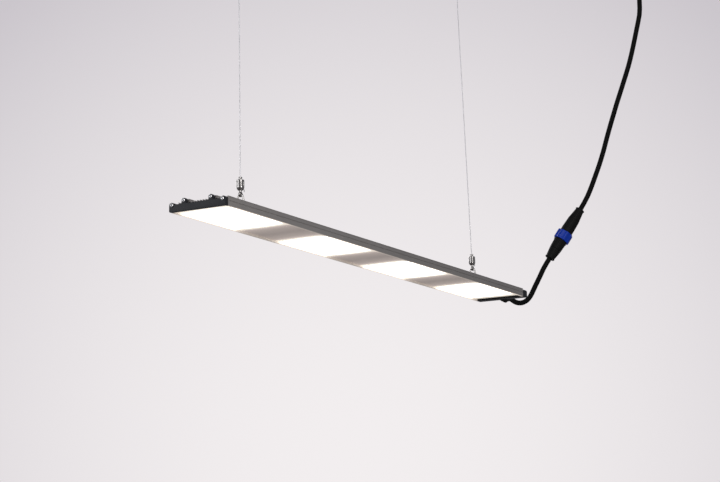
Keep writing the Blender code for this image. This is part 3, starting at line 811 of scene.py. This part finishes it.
@dataclass
class Bar:
    """The extruded bar with an end plate, a gasket and four screws at each end. Sizes are in millimetres."""

    shop: Workshop
    width: float = 100.0
    plate_in: float = 479.0
    rail_y: float = RAIL_Y
    outer_screw: tuple[float, float] = (45.0, 10.0)
    inner_screw: tuple[float, float] = (24.0, 15.2)
    head_profile: Profile = field(
        default_factory=lambda: [
            (0, 2.3), (0.7, 2.26), (1.3, 2.15), (1.9, 1.95), (2.4, 1.65), (2.8, 1.2), (3.05, 0.7),
            (3.1, 0.35), (3.1, 0.0), (1.2, 0.0),
        ]
    )  # fmt: skip

    def thickness(self, end: End) -> float:
        """An end plate's thickness; the cord's end has a deeper one."""
        return 6.0 if end is End.NEAR else 16.0

    def plate_top(self, end: End) -> float:
        """How high an end plate reaches between its bosses."""
        return 10.8 if end is End.NEAR else 12.3

    def plate_half(self, top: float) -> Profile:
        """The right half of an end plate with its top at a height, in metres, and a round boss for each screw."""
        side, corner, boss, ear = self.width / 2, 1.0, 3.8, 4.0
        ear_z = self.outer_screw[1]
        ear_end = 180 - math.degrees(math.asin((top - ear_z) / ear))
        half = [
            (side - corner, 0.0),
            *arc((side - corner, corner), corner, -60, 0, 4),
            *arc((side - ear, ear_z), ear, 0, ear_end, 16),
            (self.rail_y + boss + corner, top),
            (self.rail_y + boss, top + corner),
            *arc((self.rail_y, self.inner_screw[1]), boss, 0, 180, 18),
            (self.rail_y - boss, top + corner),
            (self.rail_y - boss - corner, top),
        ]
        return [(u * MM, v * MM) for u, v in half]

    def screw_places(self) -> list[tuple[float, float]]:
        """The (y, z) of the four screws of one end, in the order of their numbers, in metres."""
        places = (self.outer_screw, self.inner_screw)
        return [(side * y * MM, z * MM) for y, z in places for side in (1, -1)]

    def make_plate(self, end: End) -> None:
        """Builds one end plate, with its screw holes and, at the far end, the hole of the gland."""
        thick = self.thickness(end) * MM
        piece = plate(f"end_cap_{end.value}", mirrored(self.plate_half(self.plate_top(end))), thick)
        soften(piece, 0.45, 3, 50)
        for y, z in self.screw_places():
            cut(piece, drill(1.7 * MM, (y, z, -thick), (y, z, thick)))
        if end is End.FAR:
            cut(piece, drill(4.7 * MM, (0, 6.5 * MM, -thick), (0, 6.5 * MM, thick), 36))
        piece.data.transform(across_bar(end.way * (self.plate_in * MM + thick / 2)))
        smooth(piece)
        self.shop.settle(piece, "black_end_plate", "root", f"end_plate_{end.value}")

    def make_screws(self, end: End) -> None:
        """Models one cross-recessed screw and copies it to the four places of an end."""
        thick = self.thickness(end)
        shank = [(1.2, -thick - 5.6), (0.7, -thick - 6.6), (0, -thick - 6.6)]
        pattern = turned("cap_screw_pattern", self.head_profile + shank)
        for turn in (0.0, math.pi / 2):
            deselect()
            bpy.ops.mesh.primitive_cube_add(size=1.0)
            blade = bpy.context.object
            place = Matrix.Translation((0, 0, 2.0 * MM)) @ Matrix.Rotation(turn, 4, "Z")
            blade.data.transform(place @ Matrix.Diagonal((3.0 * MM, 0.62 * MM, 2.4 * MM, 1.0)))
            cut(pattern, blade)
        smooth(pattern)
        for number, (y, z) in enumerate(self.screw_places(), 1):
            seat = (end.way * ((self.plate_in + thick) * MM + GAP), y, UNDERSIDE_Z + z)
            turn = Matrix.Rotation(math.radians(37 * number), 4, "Z")
            name = f"cap_screw_{end.value}_{number}"
            screw = copy_to(pattern, name, placed(seat, (end.way, 0, 0)) @ turn)
            self.shop.settle(screw, "bright_steel", "root", f"end_screw_{end.value}_{number}")
        discard(pattern)

    def build(self) -> None:
        """Builds the whole sub-assembly."""
        self.shop.redress_node("heatsink_extrusion", "anodised_aluminium")
        for end in End:
            self.make_plate(end)
            self.make_screws(end)
            self.shop.redress_node(f"end_gasket_{end.value}", "black_rubber")


@dataclass
class LightModules:
    """The four boards with their windows, the plates between them and the wiring. Sizes are in millimetres."""

    shop: Workshop
    places: tuple[float, ...] = (-387.7, -129.2, 129.2, 387.7)
    board_low: float = BOARD_LOW

    def make_board_screws(self) -> None:
        """Models one pan-head screw and copies it to its places under every board."""
        profile = [(0, -1.25), (1.2, -1.2), (1.9, -0.95), (2.2, -0.5), (2.2, 0.0), (0, 0.0)]
        pattern = turned("board_screw_pattern", profile, steps=24)
        cut(pattern, drill(0.75 * MM, (0, 0, -2 * MM), (0, 0, -0.5 * MM), 6))
        smooth(pattern)
        for board, x in enumerate(self.places, 1):
            for number, (dx, y) in enumerate(BOARD_SCREWS, 1):
                place = Matrix.Translation(((x + dx) * MM, y * MM, UNDERSIDE_Z + (self.board_low - 0.05) * MM))
                screw = copy_to(pattern, f"board_screw_{board}_{number}", place)
                self.shop.settle(screw, "bright_steel")
        discard(pattern)

    def build(self) -> None:
        """Builds the whole sub-assembly."""
        for number in range(1, len(self.places) + 1):
            self.shop.redress_node(f"window_{number}", "opal_window")
            self.shop.redress_node(f"led_board_{number}", "white_board")
        for number in range(1, len(self.places)):
            self.shop.redress_node(f"blanking_plate_{number}", "grey_plate")
            self.shop.redress_node(f"link_lead_{number}", "white_ribbon")
        self.shop.redress_node("terminal_block", "black_nylon")
        self.make_board_screws()


# The wire hangers


@dataclass
class WireHanger:
    """One hanger: stirrup, saddle, swivel, gripper, wire, ceiling anchor and cover. Sizes are in millimetres."""

    shop: Workshop
    end: End
    x: float
    lean: float
    heading: Point = (-0.515, 0.857, 0.0)
    eye_z: float = 41.5
    rail_y: float = RAIL_Y
    stirrup_radius: float = 1.5
    stirrup_half: float = 8.0
    wire_radius: float = 0.7
    wire_start: int = 11
    wire_in_anchor: int = 3
    base_bore_z: float = -8.0
    hole_shift: float = 3.0

    def __post_init__(self) -> None:
        """Finds the hanger's axis and its anchor."""
        angle = math.radians(self.lean)
        self.up = Vector(self.heading).normalized() * math.sin(angle) + Vector((0, 0, math.cos(angle)))
        self.eye = Vector((self.x * MM, 0, UNDERSIDE_Z + self.eye_z * MM))
        self.place = placed(self.eye, self.up)
        self.anchor_reach = (self.base_bore_z * MM - self.eye.z) / self.up.z
        self.anchor = self.eye + self.up * self.anchor_reach
        self.anchor.z = 0.0
        self.wire_low = self.eye + self.up * self.wire_start * MM
        self.wire_high = self.eye + self.up * (self.anchor_reach + self.wire_in_anchor * MM)

    def name(self, piece: str) -> str:
        """The piece's name with the hanger's end."""
        return f"{piece}_{self.end.value}"

    def make_stirrup(self) -> None:
        """Bends the stirrup up from the saddle, over the eye and down again."""
        apex, foot, knee, bend = self.eye_z + 0.2, 19.4, 22.8, 4.2
        right = [(self.stirrup_half, foot), (self.stirrup_half, knee - 0.6), (self.stirrup_half - 0.05, knee)]
        right += arc((0.0, apex - bend), bend, 15, 90, 12)
        loop = right + [(-y, z) for y, z in reversed(right[:-1])]
        points = [(self.x * MM, y * MM, UNDERSIDE_Z + z * MM) for y, z in loop]
        stirrup = as_mesh(cord_curve(self.name("stirrup"), points, self.stirrup_radius * MM, 5))
        smooth(stirrup, 50)
        self.shop.settle(stirrup, "nickel_plate", "root", self.name("hanger_bail"))

    def make_saddle(self) -> None:
        """Models the saddle, which grips both rails and holds the stirrup, and its two clamp screws."""
        low, top, out, head, lip, lip_low, head_low = 19.0, 22.0, 7.2, 5.3, 3.3, 11.9, 13.3
        rail = self.rail_y
        half = [
            (rail - out, low), (rail - out, lip_low), (rail - lip, lip_low), (rail - lip, head_low),
            (rail - head, head_low), (rail - head, 18.3), (rail + head, 18.3), (rail + head, head_low),
            (rail + lip, head_low), (rail + lip, lip_low), (rail + out, lip_low), (rail + out, top - 1.0),
            (rail + out - 1.0, top),
        ]  # fmt: skip
        saddle = plate(self.name("saddle"), mirrored([(u * MM, v * MM) for u, v in half]), 14 * MM)
        soften(saddle, 0.35, 2, 50)
        saddle.data.transform(across_bar(0.0))
        head_profile = [
            (0, 2.4), (1.7, 2.4), (2.05, 2.25), (2.2, 1.95), (2.2, 0.25), (2.05, 0.0), (1.1, 0.0), (1.1, -3.4),
            (0, -3.4),
        ]  # fmt: skip
        screw = turned("clamp_screw_pattern", head_profile, steps=36)
        cut(screw, drill(1.25 * MM, (0, 0, 0.9 * MM), (0, 0, 4 * MM), 6))
        smooth(screw)
        shift = self.hole_shift * MM
        for side, way in (("left", 1), ("right", -1)):
            for x, y, start, radius in ((-shift, self.stirrup_half, 18.4, 1.85), (shift, rail, 17.0, 1.3)):
                z = UNDERSIDE_Z + start * MM
                cut(saddle, drill(radius * MM, (x, way * y * MM, z), (x, way * y * MM, z + 8 * MM)))
            seat = (self.x * MM + 2 * shift, way * rail * MM, UNDERSIDE_Z + (top + 0.02) * MM)
            clamp = copy_to(screw, self.name(f"clamp_screw_{side}"), Matrix.Translation(seat))
            self.shop.settle(clamp, "bright_steel")
        smooth(saddle)
        saddle.data.transform(Matrix.Translation((self.x * MM + shift, 0, 0)))
        self.shop.settle(saddle, "bright_steel", "root", self.name("hanger_saddle"))
        discard(screw)

    def make_stud(self) -> None:
        """Turns the headed neck and its eye and fuses them."""
        neck = [
            (0, 9.5), (3.2, 9.5), (3.5, 9.4), (3.6, 9.15), (3.6, 8.35), (3.5, 8.2),
            (2.2, 8.2), (2.0, 8.0), (2.0, 5.0), (2.3, 3.2), (0, 3.2),
        ]  # fmt: skip
        ring = [(3.2 + 1.1 * math.cos(a), 1.8 * math.sin(a)) for a in (math.tau * i / 16 for i in range(16))]
        stud = turned(self.name("stud"), neck)
        eye = turned("stud_eye", ring, closed=True)
        eye.data.transform(Matrix.Rotation(math.pi / 2, 4, "X"))
        join_into(stud, eye)
        smooth(stud, 40)
        stud.data.transform(self.place)
        self.shop.settle(stud, "nickel_plate", "root", self.name("swivel_stud"))

    def make_barrel(self) -> None:
        """Turns the gripper's barrel, with two grooves, a fluted band and a side hole for the wire's tail."""
        profile = [
            (5.0, 22.0), (5.5, 21.9), (5.9, 21.5), (6.0, 21.0), (6.0, 19.7), (5.7, 19.5), (5.7, 19.1), (6.0, 18.9),
            (6.0, 13.1), (5.7, 12.9), (5.7, 12.5), (6.0, 12.3), (6.0, 11.2), (5.9, 10.2), (5.6, 9.2), (5.1, 8.1),
            (4.4, 7.1), (3.9, 6.4), (3.4, 6.0), (2.4, 6.0), (2.4, 7.7), (4.2, 7.9), (4.2, 20.2), (2.8, 20.2),
            (2.8, 21.8), (3.0, 22.0),
        ]  # fmt: skip
        barrel = turned(self.name("barrel"), profile, closed=True)
        flute(barrel, 13.2, 18.8, 12, 0.18)
        cut(barrel, drill(1.05 * MM, (0.003, 0, 10.2 * MM), (0.009, 0, 10.2 * MM)))
        smooth(barrel, 36)
        barrel.data.transform(self.place)
        self.shop.settle(barrel, "nickel_plate", self.name("gripper"), self.name("gripper_barrel"))

    def make_nozzle(self) -> None:
        """Turns the release nozzle, which slides in the barrel along the wire."""
        profile = [
            (2.2, 26.5), (2.7, 26.4), (2.95, 26.1), (3.0, 25.7), (3.0, 24.8), (2.9, 24.5), (2.4, 24.4), (2.4, 19.9),
            (3.6, 19.9), (3.7, 19.7), (3.7, 18.2), (3.6, 18.0), (2.4, 18.0), (2.4, 14.5), (1.1, 14.5), (1.1, 26.2),
            (1.3, 26.5),
        ]  # fmt: skip
        nozzle = turned(self.name("nozzle"), profile, closed=True)
        smooth(nozzle, 36)
        nozzle.data.transform(self.place)
        self.shop.settle(nozzle, "nickel_plate", self.name("nozzle"), self.name("release_nozzle"))

    def make_spring(self) -> None:
        """Winds the spring under the nozzle's collar."""
        low, high, turns, per_turn = 10.1, 17.5, 4, 24
        points = []
        for i in range(turns * per_turn + 1):
            angle = math.tau * i / per_turn
            height = low + (high - low) * i / (turns * per_turn)
            local = Vector((3.2 * math.cos(angle), 3.2 * math.sin(angle), height)) * MM
            points.append(self.place @ local)
        spring = as_mesh(cord_curve(self.name("coil"), points, 0.35 * MM, 2))
        smooth(spring, 60)
        self.shop.settle(spring, "bright_steel", self.name("gripper"), self.name("gripper_spring"))
        self.name("nozzle_press")
        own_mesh(spring)

    def make_wire(self) -> bpy.types.Object:
        """Lays up the stranded wire from the gripper to the anchor, and bends its tail out of the gripper.

        Returns:
            The wire.
        """
        length = (self.wire_high - self.wire_low).length
        ring = []
        for i in range(24):
            angle = math.tau * i / 24
            radius = self.wire_radius * MM * (0.80 + 0.20 * abs(math.cos(3 * angle)))
            ring.append((radius * math.cos(angle), radius * math.sin(angle), 0.0))
        wire = chain(self.name("wire"), ring, True)
        leave_edit()
        lay_up = wire.modifiers.new("lay_up", "SCREW")
        lay_up.axis = "Z"
        lay_up.iterations = 66
        lay_up.screw_offset = length / lay_up.iterations
        lay_up.steps = lay_up.render_steps = 10
        lay_up.use_merge_vertices = False
        apply_all(wire)
        edit(wire)
        bpy.ops.mesh.fill_holes(sides=0)
        bpy.ops.mesh.select_all(action="SELECT")
        bpy.ops.mesh.normals_make_consistent(inside=False)
        leave_edit()
        wire.data.transform(placed(self.wire_low, self.up))
        smooth(wire, 60)
        self.shop.settle(wire, "steel_wire", "root", self.name("suspension_wire"))
        tail = [(3.4, 0, 10.2), (6.0, 0, 10.2), (8.0, 0.1, 9.9), (9.8, 0.4, 9.0), (11.2, 0.8, 7.6), (12.0, 1.2, 5.8)]
        route = smooth_route([self.place @ (Vector(p) * MM) for p in tail], 0.7 * MM)
        stub = as_mesh(cord_curve(self.name("wire_tail"), route, 0.62 * MM, 3))
        smooth(stub, 50)
        self.shop.settle(stub, "steel_wire", self.name("gripper"))
        return wire

    def make_ceiling_end(self) -> list[bpy.types.Object]:
        """Turns the anchor and its cover, and drives the anchor's two screws.

        Returns:
            The anchor and the cover.
        """
        base = [
            (0, 0), (15.8, 0), (16.0, -0.2), (16.0, -2.3), (15.8, -2.8), (15.3, -3.0), (5.2, -3.0), (4.2, -3.3),
            (3.6, -4.1), (3.5, -5.0), (3.5, -11.5), (3.2, -12.0), (1.3, -12.0), (1.3, -4.0), (0, -4.0),
        ]  # fmt: skip
        shade = [
            (16.8, -0.3), (18.0, -0.3), (18.0, -10.6), (17.8, -11.8), (17.2, -12.9), (16.2, -13.7), (14.5, -14.2),
            (1.6, -14.2), (1.6, -12.6), (14.0, -12.6), (15.2, -12.2), (16.0, -11.5), (16.8, -10.4),
        ]  # fmt: skip
        head = [(0, -1.5), (1.4, -1.45), (2.4, -1.2), (2.9, -0.7), (3.0, 0.0), (1.5, 0.0), (1.5, 2.6), (0, 2.6)]
        place = Matrix.Translation(self.anchor)
        anchor = turned(self.name("anchor"), base)
        for side in (1, -1):
            cut(anchor, drill(1.8 * MM, (side * 10 * MM, 0, -6 * MM), (side * 10 * MM, 0, 2 * MM)))
        smooth(anchor)
        anchor.data.transform(place)
        self.shop.settle(anchor, "bright_steel", "root", self.name("ceiling_anchor"))
        cover = turned(self.name("cover"), shade, closed=True)
        smooth(cover, 36)
        cover.data.transform(place)
        self.shop.settle(cover, "nickel_plate", self.name("cover"), self.name("ceiling_cover"))
        screw = turned("anchor_screw_pattern", head, steps=32)
        cut(screw, drill(0.9 * MM, (0, 0, -3 * MM), (0, 0, -0.5 * MM), 6))
        smooth(screw)
        for number, side in enumerate((1, -1), 1):
            seat = place @ Matrix.Translation((side * 10 * MM, 0, -3.02 * MM))
            self.shop.settle(copy_to(screw, self.name(f"anchor_screw_{number}"), seat), "bright_steel")
        discard(screw)
        return [anchor, cover]

    def build(self) -> None:
        """Builds the whole hanger."""
        self.make_stirrup()
        self.make_saddle()
        self.make_stud()
        self.make_barrel()
        self.make_nozzle()
        self.make_spring()
        wire = self.make_wire()
        fittings = self.make_ceiling_end()


# The supply


@dataclass
class Supply:
    """The gland, both cords, the in-line coupler and the ceiling rose. Sizes are in millimetres."""

    shop: Workshop
    cord_radius: float = 4.9
    bar_end: float = 495.0
    gland_z: float = 6.5
    coupler_low: Point = (645.9, -27.9, 100.7)
    coupler_high: Point = (683.5, -77.9, 196.9)
    low_reach: float = 52.2
    gland_length: float = 24.0
    ring_radius: float = 15.5
    ring_bore: float = 12.9
    ring_length: float = 18.4
    lobe_height: float = 0.7
    lobe_steepness: float = 2.2
    rose_at: Point = (761.4, -189.2, 680.0)
    pigtail_route: tuple[Point, ...] = (
        (497.2, 0.0, 6.5), (510.7, 0.0, 6.5), (524.3, 0.4, 6.3), (537.7, 1.8, 5.3),
        (551.1, 2.5, 3.7), (564.5, 0.8, 3.4), (577.3, -2.5, 6.3), (588.7, -5.9, 12.9),
        (598.6, -7.7, 22.0), (607.3, -8.8, 32.3), (615.4, -10.1, 43.1), (623.0, -12.1, 54.1),
        (629.9, -14.6, 65.5), (635.8, -17.7, 77.3), (641.0, -22.2, 88.9),
    )  # fmt: skip
    supply_route: tuple[Point, ...] = (
        (692.3, -90.4, 223.1), (697.9, -98.4, 245.1), (703.4, -106.2, 269.7), (708.6, -113.7, 294.3),
        (713.5, -120.7, 320.5), (717.7, -126.7, 346.2), (722.0, -133.0, 371.3), (726.5, -139.4, 395.9),
        (731.1, -146.0, 420.8), (736.1, -153.1, 445.9), (741.0, -160.0, 471.0), (745.7, -166.8, 496.1),
        (749.7, -172.6, 521.4), (753.3, -177.6, 546.7), (756.7, -182.4, 572.1), (759.2, -186.0, 591.0),
        (760.8, -188.3, 604.5), (761.4, -189.2, 618.0), (761.4, -189.2, 635.0), (761.4, -189.2, 655.0),
        (761.4, -189.2, 674.0),
    )  # fmt: skip

    def __post_init__(self) -> None:
        """Finds the coupler's axis and the middle of its ring."""
        low, high = self.on_bar(self.coupler_low), self.on_bar(self.coupler_high)
        self.axis = (high - low).normalized()
        self.middle = low + self.axis * self.low_reach * MM
        self.place = placed(self.middle, self.axis)
        self.gland_place = placed((self.bar_end * MM, 0, UNDERSIDE_Z + self.gland_z * MM), (1, 0, 0))

    def on_bar(self, point: Point) -> Vector:
        """A place in millimetres from the bar's underside, in metres from the ceiling."""
        return Vector(point) * MM + Vector((0, 0, UNDERSIDE_Z))

    def on_axis(self, *heights: float) -> list[Vector]:
        """Points on the coupler's axis, by their height in mm from the middle of its ring."""
        return [self.middle + self.axis * height * MM for height in heights]

    def make_cords(self) -> tuple[bpy.types.Object, bpy.types.Object]:
        """Lays both rubber cords.

        Returns:
            The pigtail and the supply cord.
        """
        lower = [self.on_bar(p) for p in self.pigtail_route] + self.on_axis(-48, -35, -21.5)
        upper = self.on_axis(39, 52, 65.5) + [self.on_bar(p) for p in self.supply_route]
        self.lower_line = smooth_route(lower, 5 * MM)
        self.upper_line = smooth_route(upper, 14 * MM)
        pigtail = cord_curve("pigtail", self.lower_line, self.cord_radius * MM)
        lead = cord_curve("supply_lead", self.upper_line, self.cord_radius * MM)
        self.shop.settle(pigtail, "black_rubber", "root", "pigtail_cord")
        self.shop.settle(lead, "black_rubber", "root", "supply_cord")
        return pigtail, lead

    def turned_part(
        self, name: str, profile: Profile, finish: str, place: Matrix, node: str, closed: bool = True,
        flutes: tuple[float, float, int, float] | None = None, steps: int = ROUND_STEPS, body: str = "root",
    ) -> bpy.types.Object:  # fmt: skip
        """Turns one part, flutes it, rounds its edges, and puts it in its place.

        Args:
            name: The piece's name.
            profile: Its profile in millimetres.
            finish: Its finish.
            place: Where it goes.
            node: The CAD node that it stands for.
            closed: Whether the profile is a closed loop.
            flutes: (low, high, count, depth) of its grip flutes, or None.
            steps: How many facets go round it.
            body: The body that it rides on.

        Returns:
            The piece.
        """
        part = turned(name, profile, closed, steps)
        if flutes:
            flute(part, *flutes, steps=steps)
        soften(part, 0.3 if steps > 6 else 0.5, 2, 40)
        smooth(part, 36)
        part.data.transform(place)
        return self.shop.settle(part, finish, body, node)

    def make_gland(self) -> None:
        """Turns the cable gland and its six-sided nut."""
        body = [
            (6.1, 24), (6.3, 23.8), (6.45, 21.6), (6.1, 21.4), (6.15, 20.8), (6.5, 20.6), (6.57, 19.8), (6.22, 19.6),
            (6.27, 19), (6.62, 18.8), (6.68, 18), (6.33, 17.8), (6.38, 17.2), (6.73, 17), (6.8, 16.2), (6.45, 16),
            (6.5, 15.4), (6.85, 15.2), (7, 13), (7.2, 12), (7.2, 2.3), (9.2, 2.3), (9.5, 2), (9.5, 0.3),
            (4.4, 0.3), (4.4, -6.9), (3, -6.9), (3, 1.4), (5.3, 1.7), (5.5, 24),
        ]  # fmt: skip
        nut = [(8.7, 11.8), (9.6, 11.8), (10.3, 11.4), (11, 10.4), (11, 3), (10.6, 2.6), (8.7, 2.6)]
        self.turned_part("gland_body", body, "black_nylon", self.gland_place, "cable_gland")
        self.turned_part("gland_hex_nut", nut, "black_nylon", self.gland_place, "gland_nut", steps=6)

    def make_coupler(self) -> dict[str, bpy.types.Object]:
        """Turns the coupler's halves and cord nuts, and builds its locking ring.

        Returns:
            The pieces by name.
        """
        socket = [
            (0, 2), (10.1, 2), (10.1, -7.2), (11.3, -7.9), (12.2, -8.6), (12.9, -9.5), (13.3, -10.5), (13.3, -13.3),
            (12.9, -13.9), (12.6, -14.3), (12.5, -16.4), (11.9, -29.3), (11.8, -30.7), (9.2, -30.7), (9.1, -38.9),
            (5.3, -38.9), (5.3, -20.5), (0, -20.5),
        ]  # fmt: skip
        lower_nut = [
            (9.6, -31.1), (11.5, -31.1), (11.7, -31.7), (11.4, -33.4), (9.4, -47.4), (9.1, -49.6), (9.8, -50.4),
            (9.8, -51.8), (9.2, -52.2), (5.3, -52.2), (5.3, -41), (9.6, -39.8),
        ]  # fmt: skip
        plug = [
            (0, 24.6), (5.3, 24.6), (5.3, 49.2), (9, 49.2), (9.3, 40), (11.6, 40), (11.7, 38.5), (12.5, 18),
            (12.5, 13.3), (12.5, -6.8), (10.5, -6.8), (10.5, 2.7), (0, 2.7),
        ]  # fmt: skip
        upper_nut = [
            (8.6, 65.4), (9.2, 65), (9.2, 63.8), (8.4, 62.9), (8.6, 60.9), (11.1, 43), (11.5, 41), (11.3, 40.3),
            (9.7, 40.3), (9.4, 50), (5.3, 51.2), (5.3, 65.4),
        ]  # fmt: skip
        made = {}
        parts = (
            ("socket", socket, "coupler_socket", False, (-29.4, -16.3, 16, 0.45)),
            ("lower_nut", lower_nut, "coupler_nut_lower", True, (-47.4, -33.3, 16, 0.45)),
            ("plug", plug, "coupler_plug", False, (18.0, 38.6, 16, 0.45)),
            ("upper_nut", upper_nut, "coupler_nut_upper", True, (43.0, 60.9, 16, 0.45)),
        )
        for name, profile, node, closed, flutes in parts:
            title = f"coupling_{name}"
            made[name] = self.turned_part(title, profile, "black_nylon", self.place, node, closed, flutes)
        made["ring"] = self.make_ring()
        return made

    def make_ring(self) -> bpy.types.Object:
        """Builds the lobed locking ring.

        Returns:
            The ring.
        """
        lobes, per_lobe, steep = 8, 12, self.lobe_steepness
        outline = []
        for i in range(lobes * per_lobe):
            angle = math.tau * i / (lobes * per_lobe)
            lobe = self.lobe_height * math.tanh(steep * math.cos(lobes * angle)) / math.tanh(steep)
            radius = (self.ring_radius + lobe) * MM
            outline.append((radius * math.cos(angle), radius * math.sin(angle)))
        ring = plate("lock_collar", outline, self.ring_length * MM)
        soften(ring, 0.8, 3, 60)
        cut(ring, drill(self.ring_bore * MM, (0, 0, -0.02), (0, 0, 0.02), 64))
        smooth(ring, 34)
        ring.data.transform(self.place)
        return self.shop.settle(ring, "blue_nylon", "lock_ring", "coupler_lock_ring")

    def make_rose(self) -> list[bpy.types.Object]:
        """Turns the ceiling rose and its fluted nut.

        Returns:
            Both pieces.
        """
        dome = [
            (26.0, 0.0), (28.0, 0.0), (28.0, -9.0), (27.7, -9.3), (27.7, -9.9), (28.0, -10.2), (28.0, -12.4),
            (27.6, -13.9), (26.6, -15.4), (25.0, -16.6), (22.6, -17.2), (8.0, -18.0), (5.4, -18.0), (5.4, -16.2),
            (24.2, -15.2), (26.0, -12.2),
        ]  # fmt: skip
        nut = [
            (8.6, -18.3), (9.2, -18.6), (9.4, -19.1), (9.4, -20.2), (9.4, -26.6), (9.3, -27.5), (7.8, -31.0),
            (7.4, -31.5), (5.4, -31.5), (5.4, -18.3),
        ]  # fmt: skip
        place = Matrix.Translation(self.on_bar(self.rose_at))
        rose = self.turned_part("rose_dome", dome, "white_cover", place, "cord_rose")
        flutes = (-26.7, -20.1, 16, 0.4)
        return [rose, self.turned_part("rose_nut", nut, "white_cover", place, "cord_rose_nut", True, flutes)]

    def build(self) -> None:
        """Builds the whole supply."""
        pigtail, lead = self.make_cords()
        self.make_gland()
        coupler = self.make_coupler()
        rose = self.make_rose()


# The studio


@dataclass
class Studio:
    """The camera, the pale surroundings, the lights and the floor."""

    eye: Point = (-2.5594, -1.5223, -1.2298)
    forward: Point = (0.840894, 0.506059, 0.191837)
    up: Point = (-0.161214, -0.104150, 0.981409)
    lens: float = 91.0
    floor_z: float = -2.63
    # The backdrop's painted pool of light: its colour in the middle of the view, and at the edges.
    bright: Colour = (0.888, 0.855, 0.863)
    edge: Colour = (0.597, 0.565, 0.604)
    fill: Colour = (0.22, 0.22, 0.23)

    def place_camera(self) -> None:
        """Puts the camera in place."""
        lens = bpy.data.cameras.new("view")
        lens.lens = self.lens
        lens.sensor_width = 36.0
        lens.clip_start, lens.clip_end = 0.05, 60.0
        camera = bpy.data.objects.new("view", lens)
        bpy.context.scene.collection.objects.link(camera)
        forward, up = Vector(self.forward).normalized(), Vector(self.up)
        right = forward.cross(up).normalized()
        up = right.cross(forward)
        turn = Matrix((right, up, -forward)).transposed().to_4x4()
        camera.matrix_world = Matrix.Translation(self.eye) @ turn
        bpy.context.scene.camera = camera

    def light(self, name: str, at: Point, towards: Point, size: float, power: float, tint: Colour) -> None:
        """Adds a soft square light.

        Args:
            name: Its name.
            at: Where it is.
            towards: The point it faces.
            size: Its side in metres.
            power: Its power in watts.
            tint: Its colour.
        """
        lamp = bpy.data.lights.new(name, "AREA")
        lamp.shape = "SQUARE"
        lamp.size = size
        lamp.energy = power
        lamp.color = tint
        made = bpy.data.objects.new(name, lamp)
        bpy.context.scene.collection.objects.link(made)
        way = Vector(towards) - Vector(at)
        made.matrix_world = Matrix.Translation(at) @ way.to_track_quat("-Z", "Y").to_matrix().to_4x4()
        made.visible_camera = False

    def surround(self) -> None:
        """Makes the pale surroundings: a soft backdrop to look at, with a painted pool of light that makes it brightest
        round the middle of the view and darker towards the edges, and a quieter fill that lights the object.
        """
        world = bpy.data.worlds.new("studio")
        bpy.context.scene.world = world
        world.use_nodes = True
        tree = world.node_tree
        tree.nodes.clear()
        place = tree.nodes.new("ShaderNodeTexCoord")
        dot = tree.nodes.new("ShaderNodeVectorMath")
        dot.operation = "DOT_PRODUCT"
        centre = Vector(self.forward) - Vector(self.up) * 0.12
        dot.inputs[1].default_value = centre.normalized()
        fade = tree.nodes.new("ShaderNodeMapRange")
        fade.inputs["From Min"].default_value = 0.952
        fade.inputs["From Max"].default_value = 1.0
        colour = tree.nodes.new("ShaderNodeMix")
        colour.data_type = "RGBA"
        colour.inputs[6].default_value = (*self.edge, 1.0)
        colour.inputs[7].default_value = (*self.bright, 1.0)
        seen = tree.nodes.new("ShaderNodeBackground")
        lit = tree.nodes.new("ShaderNodeBackground")
        lit.inputs["Color"].default_value = (*self.fill, 1.0)
        path = tree.nodes.new("ShaderNodeLightPath")
        both = tree.nodes.new("ShaderNodeMixShader")
        out = tree.nodes.new("ShaderNodeOutputWorld")
        for source, target in (
            (place.outputs["Generated"], dot.inputs[0]),
            (dot.outputs["Value"], fade.inputs["Value"]),
            (fade.outputs[0], colour.inputs[0]),
            (colour.outputs[2], seen.inputs["Color"]),
            (path.outputs["Is Camera Ray"], both.inputs[0]),
            (lit.outputs[0], both.inputs[1]),
            (seen.outputs[0], both.inputs[2]),
            (both.outputs[0], out.inputs["Surface"]),
        ):
            tree.links.new(source, target)
        bpy.context.scene.view_settings.view_transform = "Standard"

    def lay_floor(self) -> None:
        """Lays a plain pale floor far below the bar."""
        deselect()
        bpy.ops.mesh.primitive_plane_add(size=24.0, location=(0, 0, 0))
        floor = bpy.context.object
        floor.name = "studio_floor"
        floor.data.transform(Matrix.Translation((0, 0, self.floor_z)))
        finish = Finish("studio_floor", "", (0.72, 0.71, 0.72), 0.0, 0.75, (40.0,) * 3, (1.5,) * 3, 0.02)
        floor.data.materials.append(finish.build())

    def build(self) -> None:
        """Builds the studio."""
        self.place_camera()
        self.surround()
        self.lay_floor()
        middle = (0.05, 0.0, -0.6)
        self.light("key", (-1.9, -2.4, 0.9), middle, 1.6, 34.0, (1.0, 0.99, 0.98))
        self.light("low", (-0.95, -1.25, -0.75), (-0.35, -0.05, -0.67), 0.5, 5.0, (1.0, 0.97, 0.95))
        self.light("left", (-2.4, 1.6, -0.3), middle, 1.4, 16.0, (0.97, 0.98, 1.0))
        self.light("back", (1.6, 2.4, 0.6), middle, 1.6, 20.0, (1.0, 1.0, 1.0))


def main() -> None:
    """Builds the studio and then the object, one sub-assembly after another."""
    logging.basicConfig(level=logging.INFO, format="%(name)s: %(message)s")
    Studio().build()
    shop = Workshop()
    Supply(shop).build()
    Bar(shop).build()
    LightModules(shop).build()
    WireHanger(shop, End.NEAR, -375.7, 0.74).build()
    WireHanger(shop, End.FAR, 370.4, 2.2).build()
    deselect()


if __name__ == "__main__":
    main()
